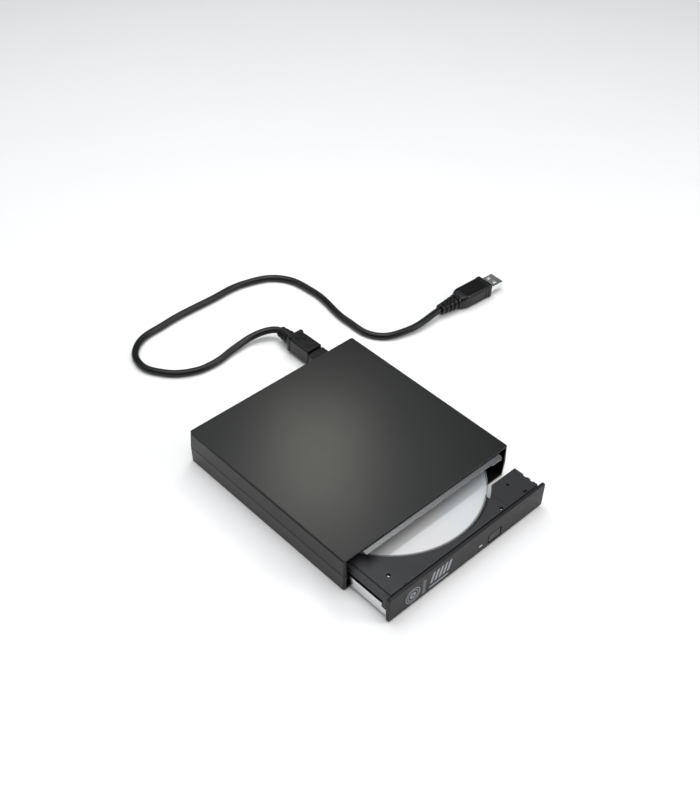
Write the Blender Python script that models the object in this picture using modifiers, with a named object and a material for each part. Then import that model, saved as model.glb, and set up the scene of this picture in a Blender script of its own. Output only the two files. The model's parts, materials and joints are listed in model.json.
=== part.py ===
"""External optical drive with a partly open disc tray and its USB cable.

Frame: +X to the right of the tray's front, -Y out of the front, +Z up. The
origin is the centre of the bottom cover's underside. Every size and place
below is in millimetres, and the helpers turn them into metres.
"""

from math import cos, pi, radians, sin

import bmesh
import bpy
from mathutils import Matrix, Vector

MM = 0.001
GAP = 0.3              # room between neighbouring pieces
OVERSHOOT = 2.0        # how far a cutter reaches past the face it cuts

# Enclosure
CASE_W = 133.0         # width at the top
CASE_D = 134.5
CASE_H = 24.5
CASE_WALL = 1.8
TOP_WALL = 0.8
CASE_FLOOR = 1.6
CASE_CORNER_R = 1.4
DRAFT = 0.4            # each cover widens this much towards the parting line
PARTING_Z = 11.7
FRONT_Y = -CASE_D / 2
BACK_Y = CASE_D / 2
GROOVE_Z = (22.9, 23.6)
GROOVE_DEEP = 0.6
PAD_R = 4.5            # four rubber pads set flush into the underside
PAD_THICK = 0.6
COVER_SCREWS_X = (-45.0, 20.0)
SCREW_ROW_Y = BACK_Y - 3.9

# Slim drive inside the enclosure
DRIVE_HALF_W = 64.0
SHEET = 0.5
PAN_Z = 2.2
PAN_TOP_Z = 22.5
STEP_X = 39.0          # the deep part of the pan ends here
WING_FLOOR_Z = 7.8
PAN_FRONT_Y = FRONT_Y + 5.0
PAN_BACK_Y = FRONT_Y + 126.6
PLATE_Z = (22.8, 23.4)
LIP = 3.4              # the steel cover stands this far out of the front

# Tray
BEZEL_W = 128.0
BEZEL_Z = (1.0, 19.0)
BEZEL_THICK = 2.2
SEAM = 0.9             # open groove between the bezel and the deck
BEZEL_Y = FRONT_Y - 32.0
DECK_TOP = 18.2
DECK_BOTTOM = 12.9
WING_BOTTOM = 16.4
WING_DEEP = 17.6       # depth of the thin right wing behind the bezel
WING_DENTS = ((3.1, 5.5), (7.9, 10.8))   # two dents in its outer edge
SEAT_Z = 13.9          # floor of the disc recess
TRAY_LEFT = -62.9
TRAY_RIGHT = 34.5
WING_RIGHT = 60.6
TRAY_FRONT = BEZEL_Y + BEZEL_THICK + SEAM
TRAY_BACK = FRONT_Y + 94.5
RAIL_FRONT = TRAY_FRONT + 0.2
SKIRT_LEFT = -59.5
SKIRT_BOTTOM = 3.9
SKIRT = 1.4
RECESS_R = 62.0
TAB_Z = 8.0            # underside of the tab at the tray's left front corner
TAB_DEEP = 3.2

# Disc and spindle
DISC_X = 0.0
DISC_Y = FRONT_Y + 36.0
DISC_R = 60.0
DISC_HOLE_R = 7.5
DISC_Z = (14.5, 15.7)
SPINDLE_RAISE = 2.0    # height of the frame that the mechanism is built in
FEED_ANGLE = radians(135)   # turns the pickup's own +Y to the front left

# Pickup, along its own +Y from the spindle
LENS_AT = 40.0         # distance of the lens from the spindle at rest
ROD_X = 17.0
ROD_Z = 7.2
ROD_R = 1.2
SCREW_X = -24.0
SCREW_R = 1.5
FEED_Z = 7.55
CHASSIS_Z = (4.4, 5.0)

# Cable and plugs
CABLE_R = 2.4
PLUG_X = 49.6
PLUG_Z = 7.5
USB_A_AT = (149.8, 64.6, 5.8)   # the cable end of the computer-side plug
USB_A_ANGLE = radians(-3)
LYING_Z = CABLE_R + 0.15   # height of the cable's middle where it lies on the desk


# ---------------------------------------------------------------- helpers

def clear_scene():
    for obj in list(bpy.data.objects):
        bpy.data.objects.remove(obj, do_unlink=True)


def new_collection(name):
    collection = bpy.data.collections.new(name)
    bpy.context.scene.collection.children.link(collection)
    return collection


def material(name, colour, roughness, metallic=0.0):
    mat = bpy.data.materials.new(name)
    mat.use_nodes = True
    shader = mat.node_tree.nodes["Principled BSDF"]
    shader.inputs["Base Color"].default_value = (*colour, 1.0)
    shader.inputs["Roughness"].default_value = roughness
    shader.inputs["Metallic"].default_value = metallic
    mat.diffuse_color = (*colour, 1.0)
    return mat


def finish_mesh(bm, name, mat=None):
    """Turns a bmesh in millimetres into an object in metres."""
    bmesh.ops.scale(bm, vec=Vector((MM, MM, MM)), verts=bm.verts)
    bmesh.ops.recalc_face_normals(bm, faces=bm.faces)
    mesh = bpy.data.meshes.new(name)
    bm.to_mesh(mesh)
    bm.free()
    mesh.shade_smooth()
    mesh.set_sharp_from_angle(angle=radians(30))
    obj = bpy.data.objects.new(name, mesh)
    (PARTS if mat else CUTTERS).objects.link(obj)
    if mat:
        mesh.materials.append(mat)
    else:
        obj.hide_render = True
        obj.display_type = "WIRE"
    return obj


def box_bmesh(low, high):
    bm = bmesh.new()
    bmesh.ops.create_cube(bm, size=1.0)
    size = Vector(high) - Vector(low)
    bmesh.ops.scale(bm, vec=size, verts=bm.verts)
    bmesh.ops.translate(bm, vec=(Vector(high) + Vector(low)) / 2, verts=bm.verts)
    return bm


def upright_edges(bm):
    return [e for e in bm.edges if abs(e.verts[0].co.z - e.verts[1].co.z) > 1e-6
            and (e.verts[0].co.xy - e.verts[1].co.xy).length < 1e-6]


def box(name, low, high, mat=None, edge=0.0, corner=0.0):
    """A box between two corners. corner rounds its upright edges, edge all of them."""
    bm = box_bmesh(low, high)
    if corner:
        bmesh.ops.bevel(bm, geom=upright_edges(bm), offset=corner, segments=4,
                        affect="EDGES", profile=0.5)
    if edge:
        bmesh.ops.bevel(bm, geom=list(bm.edges), offset=edge, segments=1,
                        affect="EDGES", profile=0.5)
    return finish_mesh(bm, name, mat)


AXES = {"X": Matrix.Rotation(pi / 2, 4, "Y"), "Y": Matrix.Rotation(-pi / 2, 4, "X"),
        "Z": Matrix.Identity(4)}


def rod(name, start, length, radius, axis="Z", mat=None, sides=24, tip=None):
    """A cylinder, or a cone when tip is given, from start along +axis."""
    bm = bmesh.new()
    bmesh.ops.create_cone(bm, cap_ends=True, segments=sides, radius1=radius,
                          radius2=radius if tip is None else tip, depth=length)
    bmesh.ops.translate(bm, vec=(0, 0, length / 2), verts=bm.verts)
    bmesh.ops.transform(bm, matrix=Matrix.Translation(start) @ AXES[axis], verts=bm.verts)
    return finish_mesh(bm, name, mat)


def plate(name, outline, low, high, mat=None, axis="Z"):
    """A flat outline filled and given a thickness along an axis."""
    bm = bmesh.new()
    if axis == "Z":
        corners = [bm.verts.new((a, b, low)) for a, b in outline]
        step = Vector((0, 0, high - low))
    else:
        corners = [bm.verts.new((a, low, b)) for a, b in outline]
        step = Vector((0, high - low, 0))
    face = bm.faces.new(corners)
    raised = bmesh.ops.extrude_face_region(bm, geom=[face])
    verts = [v for v in raised["geom"] if isinstance(v, bmesh.types.BMVert)]
    bmesh.ops.translate(bm, vec=step, verts=verts)
    return finish_mesh(bm, name, mat)


def turned(name, profile, centre, mat=None, steps=32):
    """A closed (radius, z) profile turned about a vertical axis by a Screw modifier."""
    mesh = bpy.data.meshes.new(name)
    bm = bmesh.new()
    points = [bm.verts.new((r * MM, 0, z * MM)) for r, z in profile]
    closed = all(r > 0 for r, _ in profile)
    pairs = list(zip(points, points[1:])) + ([(points[-1], points[0])] if closed else [])
    for a, b in pairs:
        bm.edges.new((a, b))
    bm.to_mesh(mesh)
    bm.free()
    obj = bpy.data.objects.new(name, mesh)
    (PARTS if mat else CUTTERS).objects.link(obj)
    screw = obj.modifiers.new("Turn", "SCREW")
    screw.steps = screw.render_steps = steps
    screw.use_merge_vertices = True
    screw.merge_threshold = 0.00001
    screw.use_smooth_shade = True
    obj.location = Vector(centre) * MM
    if mat:
        mesh.materials.append(mat)
    else:
        obj.hide_render = True
        obj.display_type = "WIRE"
    return obj


def wire(name, points, radius, mat, resolution=4, handles="AUTO"):
    """A round wire through points, as a mesh with closed ends."""
    curve = bpy.data.curves.new(name, "CURVE")
    curve.dimensions = "3D"
    curve.bevel_depth = radius * MM
    curve.bevel_resolution = 2
    curve.use_fill_caps = True
    curve.resolution_u = resolution
    spline = curve.splines.new("BEZIER")
    spline.bezier_points.add(len(points) - 1)
    for knot, point in zip(spline.bezier_points, points):
        knot.co = Vector(point) * MM
        knot.handle_left_type = knot.handle_right_type = handles
    guide = bpy.data.objects.new(name + "_guide", curve)
    CUTTERS.objects.link(guide)
    depsgraph = bpy.context.evaluated_depsgraph_get()
    mesh = bpy.data.meshes.new_from_object(guide.evaluated_get(depsgraph))
    bpy.data.objects.remove(guide, do_unlink=True)
    bm = bmesh.new()
    bm.from_mesh(mesh)
    bmesh.ops.remove_doubles(bm, verts=bm.verts, dist=0.000005)
    bmesh.ops.scale(bm, vec=Vector((1 / MM, 1 / MM, 1 / MM)), verts=bm.verts)
    bpy.data.meshes.remove(mesh)
    return finish_mesh(bm, name, mat)


def boolean(obj, other, operation):
    modifier = obj.modifiers.new(other.name, "BOOLEAN")
    modifier.object = other
    modifier.operation = operation
    modifier.solver = "EXACT"


def cut(obj, *cutters):
    for cutter in cutters:
        boolean(obj, cutter, "DIFFERENCE")


def join(obj, *additions):
    for addition in additions:
        boolean(obj, addition, "UNION")


def place_in(frame, *objects):
    """Hangs pieces, and the shapes that cut or join them, on a frame they were built in."""
    for obj in objects:
        obj.parent = frame
        place_in(frame, *[modifier.object for modifier in obj.modifiers
                          if modifier.type == "BOOLEAN"])


def arc(cx, cy, radius, start, end, steps):
    angles = [radians(start + (end - start) * i / steps) for i in range(steps + 1)]
    return [(cx + radius * cos(a), cy + radius * sin(a)) for a in angles]


def rounded_rect(cx, cy, width, height, radius, steps=4):
    points = []
    for sx, sy, turn in ((1, 1, 0), (-1, 1, 90), (-1, -1, 180), (1, -1, 270)):
        points += arc(cx + sx * (width / 2 - radius), cy + sy * (height / 2 - radius),
                      radius, turn, turn + 90, steps)
    return points


def drafted(name, z_low, z_high, widen_low, widen_high, mat=None, rim=None):
    """A block of the enclosure's plan, with a different widening at bottom and top."""
    half_w, half_d = CASE_W / 2, CASE_D / 2
    bm = box_bmesh((-half_w, -half_d, z_low), (half_w, half_d, z_high))
    bmesh.ops.bevel(bm, geom=upright_edges(bm), offset=CASE_CORNER_R, segments=4,
                    affect="EDGES", profile=0.5)
    middle = (z_low + z_high) / 2
    for vert in bm.verts:
        widen = widen_high if vert.co.z > middle else widen_low
        vert.co.x *= 1 + widen / half_w
        vert.co.y *= 1 + widen / half_d
    if rim:
        z_rim = z_high if rim > 0 else z_low
        edges = [e for e in bm.edges if all(abs(v.co.z - z_rim) < 1e-6 for v in e.verts)]
        bmesh.ops.bevel(bm, geom=edges, offset=abs(rim), segments=2, affect="EDGES",
                        profile=0.5)
    return finish_mesh(bm, name, mat)


# ---------------------------------------------------------------- materials

def make_materials():
    return {
        "shell": material("black_shell", (0.022, 0.023, 0.024), 0.38),
        "plastic": material("dark_plastic", (0.03, 0.03, 0.033), 0.5),
        "button": material("button_plastic", (0.035, 0.035, 0.038), 0.45),
        "lens": material("led_lens", (0.75, 0.78, 0.75), 0.2),
        "black_steel": material("blackened_steel", (0.03, 0.03, 0.032), 0.45, 0.6),
        "steel": material("galvanised_steel", (0.55, 0.56, 0.57), 0.32, 1.0),
        "bright": material("bright_steel", (0.72, 0.73, 0.74), 0.18, 1.0),
        "disc": material("disc_silver", (0.78, 0.79, 0.81), 0.22, 0.6),
        "rubber": material("rubber", (0.02, 0.02, 0.02), 0.8),
        "cable": material("cable_jacket", (0.015, 0.015, 0.016), 0.4),
        "board": material("circuit_board", (0.02, 0.16, 0.07), 0.45),
        "chip": material("chip_resin", (0.02, 0.02, 0.022), 0.55),
        "copper": material("copper_winding", (0.72, 0.34, 0.16), 0.35, 1.0),
        "white": material("white_plastic", (0.72, 0.72, 0.68), 0.5),
        "glass": material("lens_glass", (0.55, 0.6, 0.8), 0.05),
        "flex": material("flex_film", (0.55, 0.25, 0.05), 0.4),
    }


# ---------------------------------------------------------------- enclosure

def make_covers():
    half_in = DRIVE_HALF_W + 0.7
    low, high = FRONT_Y - OVERSHOOT, BACK_Y - CASE_WALL

    bottom = drafted("bottom_cover", 0, PARTING_Z, 0, DRAFT, MAT["shell"], rim=-0.4)
    cut(bottom, box("cut_bottom_room", (-half_in, low, CASE_FLOOR),
                    (half_in, high, PARTING_Z + OVERSHOOT)))

    top = drafted("top_cover", PARTING_Z + GAP, CASE_H, DRAFT, 0, MAT["shell"], rim=0.4)
    cut(top, box("cut_top_room", (-half_in, low, PARTING_Z - OVERSHOOT),
                 (half_in, high, CASE_H - TOP_WALL)))

    # The shadow line under the lid-like top, on both sides and the back.
    ring = drafted("cut_groove_ring", *GROOVE_Z, OVERSHOOT, OVERSHOOT)
    core = drafted("cut_groove_core", GROOVE_Z[0] - 1, GROOVE_Z[1] + 1,
                   -GROOVE_DEEP, -GROOVE_DEEP)
    cut(ring, core)
    front = box("cut_groove_front", (-CASE_W, FRONT_Y - 5, GROOVE_Z[0] - 1.5),
                (CASE_W, FRONT_Y + 1.2, GROOVE_Z[1] + 1.5))
    cut(ring, front)
    cut(top, ring)

    # Opening for the plug through the back wall, shared by both covers.
    port_y = (BACK_Y - CASE_WALL - 1, BACK_Y + OVERSHOOT)
    cut(bottom, box("cut_port", (PLUG_X - 4.6, port_y[0], 3.6),
                    (PLUG_X + 4.6, port_y[1], PARTING_Z + OVERSHOOT)))

    # Screws come up through the floor, beside the drive at the back.
    for number, x in enumerate(COVER_SCREWS_X, 1):
        y = SCREW_ROW_Y
        hole = rod(f"cut_screw_{number}", (x, y, -OVERSHOOT), CASE_FLOOR + 4, 1.2)
        sink = rod(f"cut_sink_{number}", (x, y, -OVERSHOOT), OVERSHOOT + 0.8, 2.2)
        cut(bottom, hole, sink)
        boss = rod(f"cut_boss_{number}", (x, y, 3.0), CASE_H - TOP_WALL / 2 - 3.0, 1.9)
        bore = rod(f"cut_bore_{number}", (x, y, 2.0), 7.0, 1.15)
        join(top, boss)
        cut(top, bore)
        screw = turned(f"cover_screw_{number}",
                       [(0, 0.7), (1.1, 0.7), (1.9, 0.5), (1.9, 0.05), (0, 0.05)],
                       (x, y, 0), MAT["bright"], 20)
        join(screw, rod(f"cut_shank_{number}", (x, y, 0.5), 7.0, 0.85, sides=16))
        cut(screw, box(f"cut_drive_{number}", (x - 1.3, y - 0.25, -1), (x + 1.3, y + 0.25, 0.35)))

    for number, (sx, sy) in enumerate(((-1, -1), (1, -1), (-1, 1), (1, 1)), 1):
        x, y = sx * (CASE_W / 2 - 10), sy * (CASE_D / 2 - 12)
        cut(bottom, rod(f"cut_pad_{number}", (x, y, -OVERSHOOT), OVERSHOOT + PAD_THICK + GAP,
                        PAD_R + GAP, sides=32))
        turned(f"foot_{number}",
               [(0, PAD_THICK), (PAD_R, PAD_THICK), (PAD_R, 0.2), (PAD_R - 0.2, 0), (0, 0)],
               (x, y, 0), MAT["rubber"], 32)


# ---------------------------------------------------------------- drive body

def make_drive_case():
    w, s = DRIVE_HALF_W, SHEET
    outer = [(-w, PAN_Z), (STEP_X, PAN_Z), (STEP_X, WING_FLOOR_Z), (w, WING_FLOOR_Z),
             (w, PAN_TOP_Z), (-w, PAN_TOP_Z)]
    inner = [(-w + s, PAN_Z + s), (STEP_X - s, PAN_Z + s),
             (STEP_X - s, WING_FLOOR_Z + s), (w - s, WING_FLOOR_Z + s),
             (w - s, PAN_TOP_Z + 2), (-w + s, PAN_TOP_Z + 2)]
    case = plate("drive_case", outer, PAN_FRONT_Y, PAN_BACK_Y, MAT["black_steel"],
                 "Y")
    room = plate("cut_case_room", inner, PAN_FRONT_Y - 5, PAN_BACK_Y - s, axis="Y")
    slot = box("cut_connector_slot", (-40.6, PAN_BACK_Y - 3, 4.4), (-9.4, PAN_BACK_Y + 3, 9.6))
    cut(case, room, slot)

    # Steel top: its front lip shows under the top cover, with one step and a round corner.
    front = FRONT_Y - LIP
    outline = [(-w, PAN_FRONT_Y), (-53.5, PAN_FRONT_Y), (-53.5, front), (46.0, front),
               (48.5, front - 1.0)]
    outline += arc(55.0, front + 2.0, 3.0, 270, 360, 5)
    outline += [(58.0, PAN_FRONT_Y), (w, PAN_FRONT_Y), (w, PAN_BACK_Y), (-w, PAN_BACK_Y)]
    plate("drive_top_plate", outline, *PLATE_Z, MAT["steel"])

    post = turned("latch_post", [(0, 12.4), (0.9, 12.4), (0.9, 8.6), (0, 8.6)],
                  (37.6 + 1.9, FRONT_Y + 4.0, 0), MAT["bright"], 16)
    return case, post


def make_boards():
    rear = (PAN_BACK_Y + 0.4, BACK_Y - CASE_WALL - 0.4)
    edge = FRONT_Y + 92.0
    outline = [(-50, rear[0]), (41.5, rear[0]), (41.5, edge), (62.0, edge), (62.0, rear[1]),
               (-50, rear[1])]
    board = plate("bridge_board", outline, 2.4, 3.6, MAT["board"])
    for number, x in enumerate(COVER_SCREWS_X, 1):
        cut(board, rod(f"cut_board_{number}", (x, SCREW_ROW_Y, 1), 4, 2.3))
    box("bridge_chip", (46.0, edge + 8, 3.9), (56.0, edge + 18, 5.1), MAT["chip"], edge=0.15)
    box("drive_connector", (-40.0, PAN_BACK_Y - 1.6, 4.9), (-10.0, rear[1] - 1.0, 9.1),
        MAT["chip"], edge=0.2)

    # Mini-B receptacle: a steel shell open at the back, its mouth outside the board.
    mouth = BACK_Y - 0.5
    socket = box("usb_socket", (PLUG_X - 4.0, rear[0], 3.9), (PLUG_X + 4.0, mouth, 9.8),
                 MAT["bright"], edge=0.2)
    cut(socket, box("cut_socket", (PLUG_X - 3.6, rear[0] + 1, 5.4),
                    (PLUG_X + 3.6, mouth + 2, 9.4)))

    flex = box("flex_cable", (-34.0, FRONT_Y + 50, PAN_Z + SHEET + 0.12),
               (-16.0, PAN_BACK_Y - SHEET - 0.6, PAN_Z + SHEET + 0.27), MAT["flex"])
    return flex


def channel(name, outer, inner, y_range, mat):
    """A C-shaped rail: an outer bar less a slot that opens to one side."""
    bar = box(name, (outer[0], y_range[0], outer[2]), (outer[1], y_range[1], outer[3]), mat)
    cut(bar, box("cut_" + name, (inner[0], y_range[0] - 2, inner[2]),
                 (inner[1], y_range[1] + 2, inner[3])))
    return bar


def make_rails():
    left = channel("rail_left", (-63.1, -60.4, 3.0, 10.6), (-62.6, -58, 3.6, 10.0),
                   (RAIL_FRONT, FRONT_Y + 86), MAT["bright"])
    notch = TAB_DEEP + 0.4
    cut(left, box("cut_rail_notch", (-65, TRAY_FRONT - 1, TAB_Z - 0.4),
                  (-58, TRAY_FRONT + notch, 12)))
    right = channel("rail_right", (35.4, 38.1, 3.0, 7.6), (33, 37.6, 3.6, 7.0),
                    (RAIL_FRONT, FRONT_Y + 86), MAT["bright"])
    box("rail_guide_left", (-63.2, FRONT_Y + 5, 11.0), (-60.2, FRONT_Y + 62, 12.5),
        MAT["white"], edge=0.2)
    return left, right


# ---------------------------------------------------------------- tray

def make_tray():
    tray = box("tray", (TRAY_LEFT, TRAY_FRONT, DECK_BOTTOM), (TRAY_RIGHT, TRAY_BACK, DECK_TOP),
               MAT["plastic"])
    outline = [(TRAY_RIGHT - 4, TRAY_FRONT), (WING_RIGHT, TRAY_FRONT)]
    for start, end in WING_DENTS:
        outline += [(WING_RIGHT, TRAY_FRONT + start),
                    (WING_RIGHT - 0.8, TRAY_FRONT + start + 0.5),
                    (WING_RIGHT - 0.8, TRAY_FRONT + end - 0.5), (WING_RIGHT, TRAY_FRONT + end)]
    outline += [(WING_RIGHT, TRAY_FRONT + WING_DEEP), (TRAY_RIGHT - 4, TRAY_FRONT + WING_DEEP)]
    wing = plate("add_wing", outline, WING_BOTTOM, DECK_TOP)
    join(tray, wing)

    # Four skirt walls that hang below the deck and hold the mechanism.
    outer = box("add_skirt", (SKIRT_LEFT, TRAY_FRONT, SKIRT_BOTTOM),
                (TRAY_RIGHT, TRAY_BACK, DECK_BOTTOM + 1))
    cut(outer, box("cut_skirt", (SKIRT_LEFT + SKIRT, TRAY_FRONT + SKIRT, SKIRT_BOTTOM - 2),
                   (TRAY_RIGHT - SKIRT, TRAY_BACK - SKIRT, DECK_BOTTOM + 3)))
    join(tray, outer)

    # Ribs that run inside the rails' channels.
    ribs_y = (TRAY_FRONT + 45, TRAY_BACK - 2)
    join(tray, box("add_rib_left", (-62.2, ribs_y[0], 5.6), (SKIRT_LEFT + 0.5, ribs_y[1], 8.0)))
    join(tray, box("add_rib_right", (TRAY_RIGHT - 0.5, ribs_y[0], 4.6), (37.2, ribs_y[1], 6.0)))

    # A short tab at the left front, over the notch in the left rail.
    join(tray, box("add_tab", (TRAY_LEFT, TRAY_FRONT, TAB_Z),
                   (SKIRT_LEFT + 0.5, TRAY_FRONT + TAB_DEEP, DECK_BOTTOM + 0.5)))

    # Disc recess, hub hole and the pickup's window.
    recess = rod("cut_recess", (DISC_X, DISC_Y, SEAT_Z), 8, RECESS_R, sides=96)
    hub = rod("cut_hub_room", (DISC_X, DISC_Y, DECK_BOTTOM - 2), 5, 17.0, sides=40)
    window = box("cut_window", (-13.5, 0, 8), (13.5, 58.0, 14))
    place_in(SPINDLE, window)
    cut(tray, recess, hub, window)

    # Step along the left edge, and the small holes in the deck.
    cut(tray, box("cut_left_step", (TRAY_LEFT - 2, TRAY_FRONT - 2, DECK_TOP - 0.8),
                  (TRAY_LEFT + 2.7, TRAY_BACK + 2, DECK_TOP + 2)))
    blind = WING_BOTTOM + 0.4
    cut(tray, rod("cut_wing_hole", (47.0, FRONT_Y - 17.5, blind), 4, 1.2, sides=16))
    cut(tray, box("cut_wing_slot", (49.2, FRONT_Y - 28.3, blind),
                  (52.4, FRONT_Y - 26.7, DECK_TOP + 2)))
    for number, (x, y) in enumerate(TRAY_SCREWS, 1):
        cut(tray, rod(f"cut_tray_screw_{number}", (x, y, DECK_TOP - 2.3), 4, 1.2, sides=20))
    # Way out for the latch lever through the right skirt.
    cut(tray, box("cut_latch_way", (TRAY_RIGHT - 3, FRONT_Y - 28.2, 8.7),
                  (TRAY_RIGHT + 3, FRONT_Y - 13, 10.8)))
    # Way through the front skirt for the button's stem and the light guide.
    cut(tray, box("cut_button_way", (16.5, TRAY_FRONT - 2, 4.6), (25.7, TRAY_FRONT + 3, 7.0)))
    cut(tray, box("cut_led_way", (7.6, TRAY_FRONT - 2, LED_Z - 0.8),
                  (11.0, TRAY_FRONT + 3, LED_Z + 0.8)))
    return tray


TRAY_SCREWS = ((-51.5, FRONT_Y - 18.3), (30.6, FRONT_Y - 27.0))
BUTTON_X, BUTTON_Z = 21.1, 6.6
BUTTON_W, BUTTON_H = 10.0, 6.0
BUTTON_GAP = 0.65
LED_X, LED_Z = 9.3, 6.1


def make_front():
    bezel = plate("bezel", rounded_rect(0, sum(BEZEL_Z) / 2, BEZEL_W,
                                        BEZEL_Z[1] - BEZEL_Z[0], 1.2, 3),
                  BEZEL_Y, BEZEL_Y + BEZEL_THICK, MAT["plastic"], "Y")
    button_hole = plate("cut_button", rounded_rect(BUTTON_X, BUTTON_Z,
                                                   BUTTON_W + 2 * BUTTON_GAP,
                                                   BUTTON_H + 2 * BUTTON_GAP, 1.5),
                        BEZEL_Y - 2, BEZEL_Y + BEZEL_THICK + 2, axis="Y")
    led_hole = plate("cut_led", rounded_rect(LED_X, LED_Z, 3.0, 1.3, 0.6),
                     BEZEL_Y - 2, BEZEL_Y + BEZEL_THICK + 2, axis="Y")
    cut(bezel, button_hole, led_hole)

    # The cap sits just inside the bezel's face; its stem reaches the switch.
    button = plate("eject_button", rounded_rect(BUTTON_X, BUTTON_Z, BUTTON_W, BUTTON_H, 1.3),
                   BEZEL_Y + 0.1, BEZEL_Y + 1.5, MAT["button"], "Y")
    join(button, box("add_button_stem", (BUTTON_X - 4.2, BEZEL_Y + 1.0, 5.0),
                     (BUTTON_X + 4.2, TRAY_FRONT + SKIRT + 0.6, 6.6)))
    guide = plate("led_lens", rounded_rect(LED_X, LED_Z, 2.7, 1.0, 0.45),
                  BEZEL_Y - 0.05, TRAY_FRONT + SKIRT + 1.0, MAT["lens"], "Y")

    back = TRAY_FRONT + SKIRT
    box("eject_switch", (BUTTON_X - 2.6, back + 1.6, 4.9), (BUTTON_X + 2.6, back + 5.0, 8.0),
        MAT["chip"], edge=0.2)
    box("front_board", (4.0, back + 0.4, 3.95), (31.0, back + 6.0, 4.6), MAT["board"])
    for number, (x, y) in enumerate(TRAY_SCREWS, 1):
        side = ("left", "right")[number - 1]
        top = DECK_TOP - 1.2
        turned(f"tray_screw_{side}",
               [(0, top), (0.5, top), (0.85, top - 0.35), (0.85, top - 0.9), (0, top - 0.9)],
               (x, y, 0), MAT["bright"], 16)
    return bezel, button, guide


def make_tray_underside():
    margin = 0.3
    outline = [(SKIRT_LEFT, TRAY_FRONT + 1), (TRAY_RIGHT, TRAY_FRONT + 1),
               (TRAY_RIGHT, TRAY_BACK), (SKIRT_LEFT, TRAY_BACK)]
    plate("tray_shield", outline, SKIRT_BOTTOM - margin - 0.4, SKIRT_BOTTOM - margin,
          MAT["steel"])
    box("main_board", (-56.0, TRAY_BACK - 26.0, 4.6), (-8.0, TRAY_BACK - 3.0, 5.6),
        MAT["board"])


# ---------------------------------------------------------------- mechanism

def make_mechanism():
    """Everything on the chassis, in a frame with the spindle at its origin."""
    low, high = CHASSIS_Z
    chassis = plate("chassis", [(-28, -14), (21, -14), (21, 50), (14, 61), (-28, 61)],
                    low, high, MAT["steel"])
    cut(chassis, rod("cut_chassis_spindle", (0, 0, low - 2), 6, 6.0, sides=24))
    cut(chassis, plate("cut_chassis_window", rounded_rect(0, 36, 20, 34, 2), low - 2, high + 2))
    for number, (x, y, width) in enumerate(((-ROD_X, 11.6, 5.0), (ROD_X, 11.6, 5.0),
                                            (-ROD_X, 59.4, 5.0), (ROD_X - 0.8, 56.6, 4.4)), 1):
        block = box(f"add_holder_{number}", (x - width / 2, y - 1.2, high - 0.4),
                    (x + width / 2, y + 1.2, ROD_Z + 2.0))
        join(chassis, block)
    for x, far, number in ((-ROD_X, 60.4, 1), (ROD_X, 57.6, 2)):
        cut(chassis, rod(f"cut_rod_{number}", (x, 5, ROD_Z), 60, ROD_R + 0.1, "Y", sides=16))
        rod_part = rod(f"guide_rod_{number}", (x, 10.6, ROD_Z), far - 10.6, ROD_R, "Y",
                       MAT["bright"], 16)
        place_in(SPINDLE, rod_part)

    # Rubber dampers sit in holes of the chassis, and a shouldered screw holds each.
    for number, (x, y) in enumerate(((-24.0, -10.0), (17.0, -10.0), (-24.0, 57.7)), 1):
        cut(chassis, rod(f"cut_damper_{number}", (x, y, low - 2), 6, 2.3, sides=20))
        damper = turned(f"damper_{number}", [(2.0, 6.4), (2.9, 6.4), (2.9, 5.3), (2.0, 5.3)],
                        (x, y, 0), MAT["rubber"], 20)
        profile = [(0, 7.3), (2.7, 7.3), (2.7, 6.7), (1.6, 6.7), (1.6, 4.2), (0, 4.2)]
        screw = turned(f"damper_screw_{number}", profile, (x, y, 0), MAT["bright"], 20)
        place_in(SPINDLE, damper, screw)
    place_in(SPINDLE, chassis)

    stator = turned("spindle_motor",
                    [(1.8, 9.0), (3.6, 9.0), (3.6, 6.2), (10.0, 6.2), (10.0, 5.3), (1.8, 5.3)],
                    (0, 0, 0), MAT["steel"], 32)
    coils = turned("motor_coils", [(3.9, 9.2), (9.8, 9.2), (9.8, 6.5), (3.9, 6.5)], (0, 0, 0),
                   MAT["copper"], 32)
    for number in range(9):
        slot = box(f"cut_coil_{number}", (7.0, -0.5, 5), (12, 0.5, 11))
        slot.rotation_euler.z = 2 * pi * number / 9
        cut(coils, slot)
    rotor = turned("turntable",
                   [(0, 12.2), (13.5, 12.2), (13.5, 11.0), (11.8, 10.7), (11.8, 6.7),
                    (10.7, 6.7), (10.7, 9.6), (1.4, 9.6), (1.4, 5.6), (0, 5.6)],
                   (0, 0, 0), MAT["plastic"], 48)
    place_in(SPINDLE, stator, coils, rotor)

    hub = turned("clamp_hub",
                 [(0, 15.9), (4.6, 15.9), (6.2, 15.2), (6.9, 14.0), (6.9, 12.5), (0, 12.5)],
                 (0, 0, 0), MAT["plastic"], 36)
    for number in range(3):
        angle = 2 * pi * number / 3
        slot = box(f"cut_jaw_slot_{number + 1}", (3.4, -1.3, 13.6), (9, 1.3, 15.1))
        jaw = box(f"clamp_jaw_{number + 1}", (4.6, -1.0, 13.95), (7.9, 1.0, 14.8),
                  MAT["white"], edge=0.2)
        for piece in (slot, jaw):
            piece.rotation_euler.z = angle
        cut(hub, slot)
        place_in(SPINDLE, jaw)
    place_in(SPINDLE, hub)

    make_pickup()


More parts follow.
